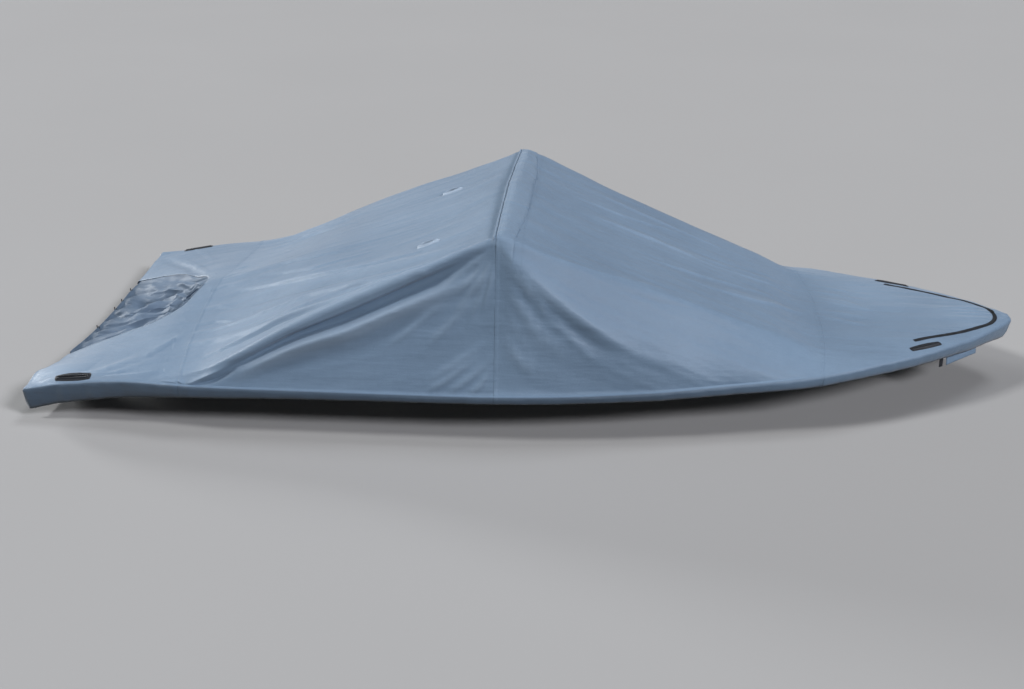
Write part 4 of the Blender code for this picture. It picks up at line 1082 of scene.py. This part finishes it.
def hem_roll():
    """Rows of the hem rolled round the cord, open where the cord shows."""
    w = np.linspace(0.0, 1.0, POCKET_COLUMNS)
    route = cord_route()
    core = sampled(w, np.linspace(0.0, 1.0, len(route)), route)
    bare = sum(np.exp(-(((w - at) / wide) ** 4)) for at, wide in HEM_WINDOWS)
    start, end = np.radians(HEM_ROLL)
    rows = []
    for share in np.linspace(1.0, 0.0, HEM_ROLL_ROWS):
        angle = start + share * ((end - start) * (1.0 - 0.80 * bare))
        uneven = HEM_ROLL_UNEVEN * np.abs(noise(w / 0.012, share, 47))
        radius = CORD_RADIUS + HEM_ROLL_CLEAR + uneven
        row = core.copy()
        row[:, 0] += radius * np.cos(angle)
        row[:, 2] += radius * np.sin(angle)
        rows.append(row)
    return np.stack(rows, 0)


def well_pocket():
    """The gathered pocket, slack between its sewn edges and rolled round the cord at its hem."""
    points = pocket_grid()
    points[..., 2] -= POCKET_SINK
    laid, shade = crumple(points)
    laid = np.concatenate((hem_roll(), laid))
    shade = np.concatenate((np.tile(shade[:1], (HEM_ROLL_ROWS, 1)), shade))
    facts = facts_of(np.linspace(0.0, 0.62, len(laid))[:, None],
                     np.linspace(-0.5, 0.5, POCKET_COLUMNS), shade)
    return sheet("pocket_cloth", [(laid, facts)], POCKET_CLOTH, merge=POCKET_WELD)


def well_cord():
    """The cord along the pocket's gathered hem."""
    route = cord_route()
    fine = np.linspace(0.0, 1.0, 400)
    path = np.stack([catmull(route[:, k], fine) for k in range(3)], -1)
    return swept("well_cord_braid", path, CORD_RADIUS)


# ---------------------------------------------------------------- pieces on the cloth
def ridge_band():
    """The reinforcing strip over the front of the ridge and round its corners."""
    steps = np.concatenate(((0.0015, 0.003, 0.005), np.linspace(0.008, BAND_WIDTH - 0.008, 22),
                            BAND_WIDTH - np.array((0.005, 0.003, 0.0015))))[:, None]
    places = place_lines(RIDGE_X, 0.008)
    places = places[np.abs(places) <= BAND_REACH]
    x = seam(RIDGE_SEAM, places) + steps * (1.0 - BAND_NARROW * smooth(np.abs(places), 0.15, 0.58))
    v = np.broadcast_to(places, x.shape)
    far = np.abs(v)
    run = reach_of(v, corners(x)[2])
    gather = BAND_GATHER * noise(x / 0.05, run / 0.026, 51) * smooth(far, 0.28, 0.42)
    gather *= smooth(steps, 0.006, 0.030) * (1.0 - smooth(far, 0.52, 0.60))
    slack = BAND_SOFT * noise(x / 0.07, run / 0.11, 52)
    bowed = far - BAND_CROSS[0] + 0.020 * ((steps - 0.06) / 0.06) ** 2
    cross = BAND_CROSS[1] * np.exp(-((bowed / 0.008) ** 2))
    sunk = np.maximum(BAND_SINK[0] * smooth(steps, BAND_WIDTH - 0.016, BAND_WIDTH),
                      BAND_SINK[1] * smooth(far, BAND_REACH - 0.05, BAND_REACH))
    proud = BAND_PROUD * np.exp(-((steps - 0.006) / 0.005) ** 2)
    proud = (proud + CLOTH * (1.0 - smooth(steps, *FELL))) * (1.0 - smooth(far, 0.46, 0.54))
    padded = BAND_PAD * np.sin(math.pi * steps / BAND_WIDTH) * (1.0 - smooth(far, 0.40, 0.54))
    lift = 0.0002 + padded + np.abs(gather) + np.abs(slack) + cross - sunk + proud
    return sheet("ridge_band_cloth", [face(x, v, lift)], outward=True)


def ridge_welt():
    """The raised seam along the back of the ridge band, a little uneven."""
    places = place_lines(RIDGE_X, WELT_STEP)
    places = places[np.abs(places) <= WELT_REACH]
    x = seam(RIDGE_SEAM, places) - WELT_ROLL - 0.0012
    number = np.arange(len(x))
    ends = np.minimum(number, number[::-1])
    path, _ = spots(x, places, WELT_RADIUS * (0.25 - 1.3 * np.exp(-ends / 7.0)))
    radii = WELT_ROLL * (0.90 + 0.10 * noise(number * WELT_STEP / 0.05, 0.0, 61))
    radii *= np.minimum(1.0, 0.25 + 0.08 * ends)
    # the welt's roll carries painted shade
    return swept("ridge_welt_roll", path, radii, WELT_SHADE)


def stitches(name, x, v, lift):
    """A row of stitches along a line on the cloth, as one mesh of small arched threads."""
    fine, normal = spots(x, v, lift)
    run = run_along(fine)
    at = np.arange(0.5 * STITCH_PITCH, run[-1], STITCH_PITCH)
    centre = sampled(at, run, fine)
    up = sampled(at, run, normal)
    ahead = unit(sampled(at + 0.002, run, fine) - centre)
    side = np.cross(up, ahead)
    rings = []
    for along, size, drop in STITCH_RINGS:
        for a, b in ((0, -1), (-1, 0), (0, 1), (1, 0)):
            rings.append(centre + ahead * along * STITCH_LENGTH + side * a * size * STITCH_RADIUS
                         + up * (b * size + drop) * STITCH_RADIUS)
    return chains(name, rings)


def bound_slot(name, spot, sizes, rise, gape=0.0):
    """A bound slot: a flat tape round it, rolled up over the slot's edge.

    With gape, the slot is a lens whose far lip stands up by gape in the middle.
    """
    length, width, slot_length, slot_width = sizes
    x0, y0, heading = spot
    turn = math.radians(heading)
    band = 0.5 * (width - slot_width)
    share, height, raised = np.array(SLOT_PROFILE).T[..., None]
    angle = 2.0 * math.pi * np.arange(SLOT_POINTS) / SLOT_POINTS
    round_x = np.copysign(np.abs(np.cos(angle)) ** 0.9, np.cos(angle))
    straight = np.clip(1.6 * round_x, -1.0, 1.0)
    mouth = 1.0 - 0.85 * straight ** 2 if gape else 1.0
    across = 0.5 * slot_width * (mouth * (1.0 - share) + share) + share * band
    a = 0.5 * (slot_length - slot_width) * straight + (0.5 * slot_width + share * band) * round_x
    b = across * np.sin(angle)
    lip = gape * mouth * (1.0 - share) ** 2 * np.where(angle < math.pi, 1.0, 0.2)
    x = x0 + a * math.cos(turn) - b * math.sin(turn)
    y = y0 + a * math.sin(turn) + b * math.cos(turn)
    height = height + rise * raised + lip + SLOT_LIFT + 0.0004 * noise(a / 0.02, b / 0.02, 71)
    points, _ = spots(x.ravel(), place_at(x, y).ravel(), height.ravel())
    points = points.reshape(x.shape + (3,))
    points = np.concatenate((points, points[:, :1]), 1)
    run = np.arange(SLOT_POINTS + 1) * (2.0 * slot_length / SLOT_POINTS)
    facts = facts_of(run, np.arange(len(SLOT_PROFILE))[:, None] * 0.003, 0.0)
    return sheet(name, [(points, facts)], SLOT_CLOTH, merge=FINE_WELD)


# ---------------------------------------------------------------- zip and slider
def zip_path(count):
    """The zip's middle line on the bow deck, and its three directions there."""
    half = np.array(ZIP_ROUTE)
    route = np.concatenate((half * (1.0, -1.0), half[-2::-1]))
    x, y = (catmull(route[:, k], np.linspace(0.0, 1.0, count)) for k in range(2))
    points, normal = spots(x, place_at(x, y))
    ahead = unit(np.gradient(points, axis=0))
    return points, ahead, np.cross(normal, ahead), normal


def bow_zip():
    """The zip's tape, whose two halves rise towards the teeth."""
    points, _, side, normal = zip_path(ZIP_POINTS)
    run = np.arange(ZIP_POINTS) * 0.004
    rows, facts = [], []
    for share, height in ZIP_PROFILE:
        wave = 0.0005 * noise(run / 0.03, share * 2.0, 81)
        rows.append(points + side * share * ZIP_WIDTH + normal * (height + wave)[:, None])
        facts.append(facts_of(run, share, 0.0))
    return sheet("bow_zip_tape", [(np.stack(rows, 1), np.stack(facts, 1))], ZIP_CLOTH)


def zip_teeth():
    """The zip's coil: small rounded teeth from both sides, in one mesh."""
    tables = zip_path(ZIP_FINE_POINTS)
    run = run_along(tables[0])
    at = np.arange(0.004, run[-1] - 0.004, TOOTH_PITCH)
    centre, ahead, side, normal = (sampled(at, run, table) for table in tables)
    swap = np.where(np.arange(len(at)) % 2 == 0, 1.0, -1.0)[:, None]
    rings = []
    for across, half_long, top in TOOTH_RINGS:
        for u, height in ((-1.0, TOOTH_FOOT), (-0.8, top), (0.8, top), (1.0, TOOTH_FOOT)):
            rings.append(centre + side * across * swap + ahead * u * half_long + normal * height)
    return chains("bow_zip_teeth", rings)


def zip_slider():
    """The slider: two wings joined by a bridge, and the pull tab that lies on the zip."""
    points, ahead, side, normal = zip_path(ZIP_FINE_POINTS)
    k = int(SLIDER_AT * (ZIP_FINE_POINTS - 1))
    mesh = bmesh.new()
    for low, high, scale in SLIDER_WINGS:
        ring = [(a * scale, b * scale) for a, b in SLIDER_OUTLINE]
        prism(mesh, ring + [(a, -b) for a, b in reversed(ring)], low, high)
    for start, end, width, low, high in SLIDER_BARS:
        ring = [(start, -width), (end, -0.7 * width), (end, 0.7 * width), (start, width)]
        prism(mesh, ring, low, high)
    bmesh.ops.recalc_face_normals(mesh, faces=mesh.faces)
    thing = made_from("zip_slider_body", mesh)
    base = Matrix((ahead[k], side[k], normal[k])).transposed().to_4x4()
    base.translation = Vector(moved(points[k]))
    thing.matrix_world = base
    bevel = thing.modifiers.new("edges", "BEVEL")
    bevel.width = SLIDER_BEVEL
    bevel.segments = 2
    apply_modifiers(thing)
    thing.data.shade_smooth()
    return thing


# ---------------------------------------------------------------- bow flap and strap
def hanging_strip(name, start, end, sizes, rows, columns):
    """A strip sewn behind the bow's hem that hangs at a line inside it, under the bow."""
    level, rise, height, lean = sizes
    start, end = np.array(start), np.array(end)
    chain = spots(np.linspace(3.95, 4.97, 100), np.full(100, -1.0))[0]
    hem = skirt(chain, ())[0]
    points = np.zeros((rows + 2, columns, 3))
    for j, share in enumerate(np.linspace(0.0, 1.0, columns)):
        x, y = start + (end - start) * share
        low, high = (sampled(x, hem[row][:, 0], hem[row]) for row in (-1, -4))
        points[1, j] = low + (0.0, HEM_BEHIND, 0.0)
        points[0, j] = points[1, j] + (high - low) * HEM_LAP
        for i, fall in enumerate(np.linspace(0.0, 1.0, rows)):
            points[i + 2, j] = (x, y - lean * fall, level + rise * share - height * fall)
    i, j = np.meshgrid(np.arange(rows + 2), np.arange(columns), indexing="ij")
    points[..., 1] += 0.0016 * noise(i / (0.5 * rows), j / 6.0, 91) * np.minimum(1.0, i / 2.0)
    return sheet(name, [(points, facts_of(j * 0.01, i * 0.01, 0.0))], STRIP_CLOTH)


# ---------------------------------------------------------------- materials
DEEP = (0.05, 0.08, 0.12, 1.0)      # painted shade in folds, on the hem skirt, the pocket and the welt
CREST_LIGHT_TONE = (0.42, 0.53, 0.66, 1.0)      # painted highlight on the crests of folds
THREAD = (0.55, 0.62, 0.70, 1.0)    # the top of a thread
SPECK = (0.05, 0.07, 0.10, 1.0)
LINE_SCALE = (1.5, 12.0, 12.0)      # fine wrinkles drawn out along the cover
LINE_HEIGHT = 0.0060


def feed(tree, node, inputs):
    """Sets a node's inputs; one given as a socket is linked."""
    for key, value in inputs.items():
        if isinstance(value, bpy.types.NodeSocket):
            tree.links.new(value, node.inputs[key])
        else:
            node.inputs[key].default_value = value


def add(tree, kind, inputs=None, **settings):
    """A node with its settings and inputs."""
    node = tree.nodes.new(kind)
    for key, value in settings.items():
        setattr(node, key, value)
    feed(tree, node, inputs or {})
    return node


def begun(name):
    """A new material, its node tree, its shader and the place on the object."""
    made = bpy.data.materials.new(name)
    made.use_nodes = True
    tree = made.node_tree
    place = add(tree, "ShaderNodeTexCoord").outputs["Object"]
    return made, tree, tree.nodes["Principled BSDF"], place


def maths(tree, operation, first, second=0.0, third=0.0):
    """The result of one maths node."""
    inputs = {0: first, 1: second, 2: third}
    return add(tree, "ShaderNodeMath", inputs, operation=operation).outputs[0]


def mix(tree, share, first, second):
    """A mix of two colours."""
    return add(tree, "ShaderNodeMix", {0: share, 6: first, 7: second}, data_type="RGBA").outputs[2]


def grain(tree, place, scale, detail, roughness=0.5):
    """The value of a noise texture."""
    return add(tree, "ShaderNodeTexNoise", {"Vector": place, "Scale": scale, "Detail": detail,
                                            "Roughness": roughness}).outputs["Fac"]


def ramp(tree, value, *stops):
    """The colour at a value between two stops, each a position and a colour."""
    node = add(tree, "ShaderNodeValToRGB", {"Fac": value})
    for element, (position, colour) in zip(node.color_ramp.elements, stops):
        element.position = position
        element.color = (*colour, 1.0)
    return node.outputs["Color"]


def bump(tree, height, strength, distance, **below):
    """The normal over a height; Normal is that of a coarser bump below it."""
    return add(tree, "ShaderNodeBump", {"Height": height, "Strength": strength,
                                        "Distance": distance, **below}).outputs["Normal"]


def cloth_facts(tree):
    """The lengths along and across the cloth and its painted shade, below zero for painted
    highlight, from the mesh.
    """
    facts = add(tree, "ShaderNodeAttribute", attribute_name="cloth").outputs["Vector"]
    return add(tree, "ShaderNodeSeparateXYZ", {0: facts}).outputs


def thread_wave(tree, length, pitch):
    """A wave of one thread after another."""
    return maths(tree, "SINE", maths(tree, "MULTIPLY", length, 2.0 * math.pi / pitch))


def woven(name, dark, light, roughness, sheen, shine, pitch, depth, crinkle):
    """Woven cloth: thread weave, crinkles, mottled colour, painted shade in hollows and painted
    highlight on crests.
    """
    made, tree, shader, place = begun(name)
    broad = grain(tree, place, 1.7, 4.0, 0.55)
    fine = grain(tree, place, 26.0, 5.0, 0.65)
    fibre = grain(tree, place, 420.0, 2.0)
    blend = maths(tree, "MULTIPLY_ADD", broad, 0.7, maths(tree, "MULTIPLY", fine, 0.3))
    along, across, shade = cloth_facts(tree)
    weave = maths(tree, "MULTIPLY", thread_wave(tree, along, pitch),
                  thread_wave(tree, across, pitch))
    colour = ramp(tree, blend, (0.36, dark), (0.66, light))
    colour = mix(tree, maths(tree, "MULTIPLY_ADD", weave, 0.02, 0.02), colour, THREAD)
    speck = maths(tree, "MULTIPLY", maths(tree, "SUBTRACT", fibre, 0.5), 0.10)
    colour = mix(tree, maths(tree, "ADD", speck, 0.05), colour, SPECK)
    # painted shade from the mesh's shade fact, and painted highlight where that fact is below zero
    colour = mix(tree, shade, colour, DEEP)
    colour = mix(tree, maths(tree, "MULTIPLY", shade, -1.0), colour, CREST_LIGHT_TONE)
    drawn = add(tree, "ShaderNodeMapping", {"Vector": place, "Scale": LINE_SCALE}).outputs[0]
    lines = bump(tree, grain(tree, drawn, 1.0, 3.0, 0.6), 1.0, LINE_HEIGHT)
    low = bump(tree, grain(tree, place, 34.0, 6.0, 0.6), 1.0, crinkle, Normal=lines)
    feed(tree, shader, {
        "Base Color": colour,
        "Roughness": maths(tree, "MULTIPLY_ADD", fine, 0.16, roughness - 0.08),
        "Sheen Weight": sheen, "Sheen Roughness": 0.5, "Specular IOR Level": shine,
        "Normal": bump(tree, weave, 0.6, depth, Normal=low)})
    return made


def dark_tape(name, colour, roughness, pitch):
    """Dark woven tape with a fine rib across it and a little dust."""
    made, tree, shader, place = begun(name)
    dust = grain(tree, place, 60.0, 5.0)
    dusty = [1.7 * c + 0.004 for c in colour]
    rib = thread_wave(tree, cloth_facts(tree)[0], pitch)
    feed(tree, shader, {
        "Base Color": ramp(tree, dust, (0.40, colour), (0.85, dusty)),
        "Roughness": maths(tree, "MULTIPLY_ADD", dust, 0.25, roughness - 0.12),
        "Normal": bump(tree, rib, 0.7, 0.0003)})
    return made


def moulded(name, colour, roughness):
    """Dark moulded plastic with a fine grain and rubbed edges."""
    made, tree, shader, place = begun(name)
    rub = grain(tree, place, 90.0, 4.0)
    rubbed = [2.2 * c + 0.01 for c in colour]
    feed(tree, shader, {
        "Base Color": ramp(tree, rub, (0.45, colour), (0.80, rubbed)),
        "Roughness": maths(tree, "MULTIPLY_ADD", rub, 0.3, roughness - 0.15),
        "Normal": bump(tree, grain(tree, place, 900.0, 3.0), 0.5, 0.0002)})
    return made


def painted_floor():
    """A plain pale floor with a trace of unevenness."""
    made, tree, shader, place = begun("studio_floor")
    cloud = grain(tree, place, 0.4, 3.0)
    feed(tree, shader, {"Base Color": mix(tree, cloud, (0.40, 0.40, 0.40, 1.0),
                                          (0.42, 0.42, 0.42, 1.0)),
                        "Roughness": 0.9, "Specular IOR Level": 0.1})
    return made


# ---------------------------------------------------------------- how each piece gets its material
SIDES = ("near", "far")


def finish_with(thing, material, slot, *nodes):
    """Gives a piece its material and lets it stand for its CAD nodes; slot is not used."""
    thing.data.materials.clear()
    thing.data.materials.append(material)
    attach(thing, "root")
    if nodes:
        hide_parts(*nodes)


# ---------------------------------------------------------------- camera, floor and light
CAMERA_AT = (0.5276, -6.0880, 1.8813)
CAMERA_DOWN = 0.42835   # radians below the horizon
CAMERA_TURN = 0.08644
FOCAL_PIXELS = 1200.0
IMAGE_WIDTH = 1024.0
SENSOR = 36.0           # millimetres
CLIP_END = 200.0
FLOOR_Z = -0.962
FLOOR_HALF = 30.0
BACKDROP = (0.48, 0.48, 0.48)
AMBIENT = 0.04
LAMP_AWAY = 9.0
LAMPS = (
    # elevation and azimuth in degrees (0 from the camera's side, 90 from the bow),
    # spread in degrees, strength and tint
    (12.0, 238.0, 12.0, 2.1, (0.98, 1.00, 1.02)),
    (48.0, 285.0, 12.0, 1.35, (1.00, 1.00, 1.00)),
    (34.0, 56.0, 14.0, 2.15, (1.00, 1.00, 1.05)),
    (66.0, 140.0, 20.0, 0.7, (0.98, 1.00, 1.04)),
    (14.0, 0.0, 30.0, 0.2, (1.04, 1.00, 0.94)),
)


def camera():
    lens = bpy.data.cameras.new("camera")
    lens.sensor_width = SENSOR
    lens.lens = FOCAL_PIXELS / IMAGE_WIDTH * SENSOR
    lens.clip_end = CLIP_END
    thing = placed("camera", lens)
    thing.location = CAMERA_AT
    thing.rotation_euler = (0.5 * math.pi - CAMERA_DOWN, 0.0, CAMERA_TURN)
    bpy.context.scene.camera = thing


def floor():
    mesh = bmesh.new()
    for a, b in ((-1, -1), (1, -1), (1, 1), (-1, 1)):
        mesh.verts.new((FLOOR_HALF * a, FLOOR_HALF * b, FLOOR_Z))
    mesh.faces.new(mesh.verts)
    thing = made_from("floor", mesh)
    thing.data.materials.append(painted_floor())
    thing.visible_diffuse = False


def lights():
    for number, (elevation, azimuth, spread, strength, tint) in enumerate(LAMPS, 1):
        up, turn = math.radians(elevation), math.radians(azimuth)
        towards = Vector((math.sin(turn) * math.cos(up), -math.cos(turn) * math.cos(up),
                          math.sin(up)))
        lamp = bpy.data.lights.new(f"lamp_{number}", "SUN")
        lamp.angle = math.radians(spread)
        lamp.energy = strength
        lamp.color = tint
        thing = placed(f"lamp_{number}", lamp)
        thing.location = towards * LAMP_AWAY
        thing.rotation_euler = towards.to_track_quat("Z", "Y").to_euler()
    world = bpy.data.worlds.new("studio")
    world.use_nodes = True
    tree = world.node_tree
    seen = add(tree, "ShaderNodeLightPath").outputs["Is Camera Ray"]
    feed(tree, tree.nodes["Background"], {
        "Color": (*BACKDROP, 1.0),
        "Strength": maths(tree, "MULTIPLY_ADD", seen, 1.0 - AMBIENT, AMBIENT)})
    bpy.context.scene.world = world
    bpy.context.scene.view_settings.view_transform = "Standard"


# ---------------------------------------------------------------- the whole cover
# Roughness, sheen and shine, then the weave's pitch and depth and the crinkles' height.
COATED = (0.50, 0.20, 0.45, 0.0016, 0.00012, 0.0010)
COATED_STRIP = (0.50, 0.22, 0.45, 0.0016, 0.00012, 0.0010)
SATIN = (0.56, 0.06, 0.16, 0.0010, 0.00005, 0.0004)


def main():
    coated = woven("coated_cloth", (0.152, 0.238, 0.352), (0.180, 0.278, 0.404), *COATED)
    # band_cloth is a lighter copy of the cover's cloth: painted light on the ridge band and welt,
    # which face the light more
    strip = woven("band_cloth", (0.172, 0.262, 0.380), (0.198, 0.300, 0.428), *COATED_STRIP)
    # lip_cloth is a much lighter copy of the cover's cloth: painted highlight on the raised vent
    # lips
    lip = woven("lip_cloth", (0.340, 0.440, 0.560), (0.430, 0.540, 0.670), *COATED)
    satin = woven("pocket_cloth", (0.124, 0.180, 0.260), (0.176, 0.246, 0.344), *SATIN)
    tape = dark_tape("dark_trim", (0.009, 0.012, 0.018), 0.55, 0.0020)
    plastic = moulded("dark_plastic", (0.014, 0.015, 0.017), 0.38)

    finish_with(aft_panel(), coated, "coated_cloth", "aft_panel")
    finish_with(front_panel(), coated, "coated_cloth", "front_panel")
    finish_with(bow_panel(), coated, "coated_cloth", "bow_panel")
    finish_with(stern_panel(), coated, "coated_cloth", "stern_panel")
    finish_with(well_pocket(), satin, "pocket_cloth", "well_pocket")
    finish_with(ridge_band(), strip, "coated_cloth", "ridge_band")
    finish_with(ridge_welt(), strip, "coated_cloth", "ridge_welt")
    for side, word in enumerate(SIDES):
        vent = bound_slot(f"vent_lip_{word}", mirrored(VENT)[side], VENT_LIPS, VENT_RISE,
                          VENT_GAPE[side])
        finish_with(vent, lip, "coated_cloth", f"vent_welt_{word}")
        for spot, end in ((CLEAT_AFT, "aft"), (CLEAT_FORE, "fore")):
            ring = bound_slot(f"cleat_tape_{end}_{word}", mirrored(spot)[side], CLEAT_LIPS,
                              CLEAT_RISE)
            finish_with(ring, tape, "dark_trim", f"cleat_binding_{end}_{word}")
    finish_with(bow_zip(), tape, "dark_trim", "bow_zip")
    finish_with(zip_teeth(), plastic, "dark_plastic")
    finish_with(zip_slider(), plastic, "dark_plastic", "zip_slider")
    finish_with(well_cord(), tape, "dark_trim", "well_cord")
    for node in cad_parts.values():
        if node.name.startswith("cord_hook"):
            for place in node.material_slots:
                place.material = plastic
    finish_with(hanging_strip("bow_flap_cloth", *FLAP), coated, "coated_cloth", "bow_flap")
    finish_with(hanging_strip("bow_strap_tape", *STRAP), tape, "dark_trim", "bow_strap")
    for name, ends, side, offsets, reach, lift in STITCH_ROWS:
        places = place_lines(ends[1], 0.010)
        places = places[np.abs(places) <= reach]
        for number, offset in enumerate(offsets, 1):
            x = seam(ends, places) + side * offset
            row = stitches(f"{name}_stitches_{number}", x, places, lift)
            finish_with(row, coated, "coated_cloth")

    camera()
    floor()
    lights()


main()
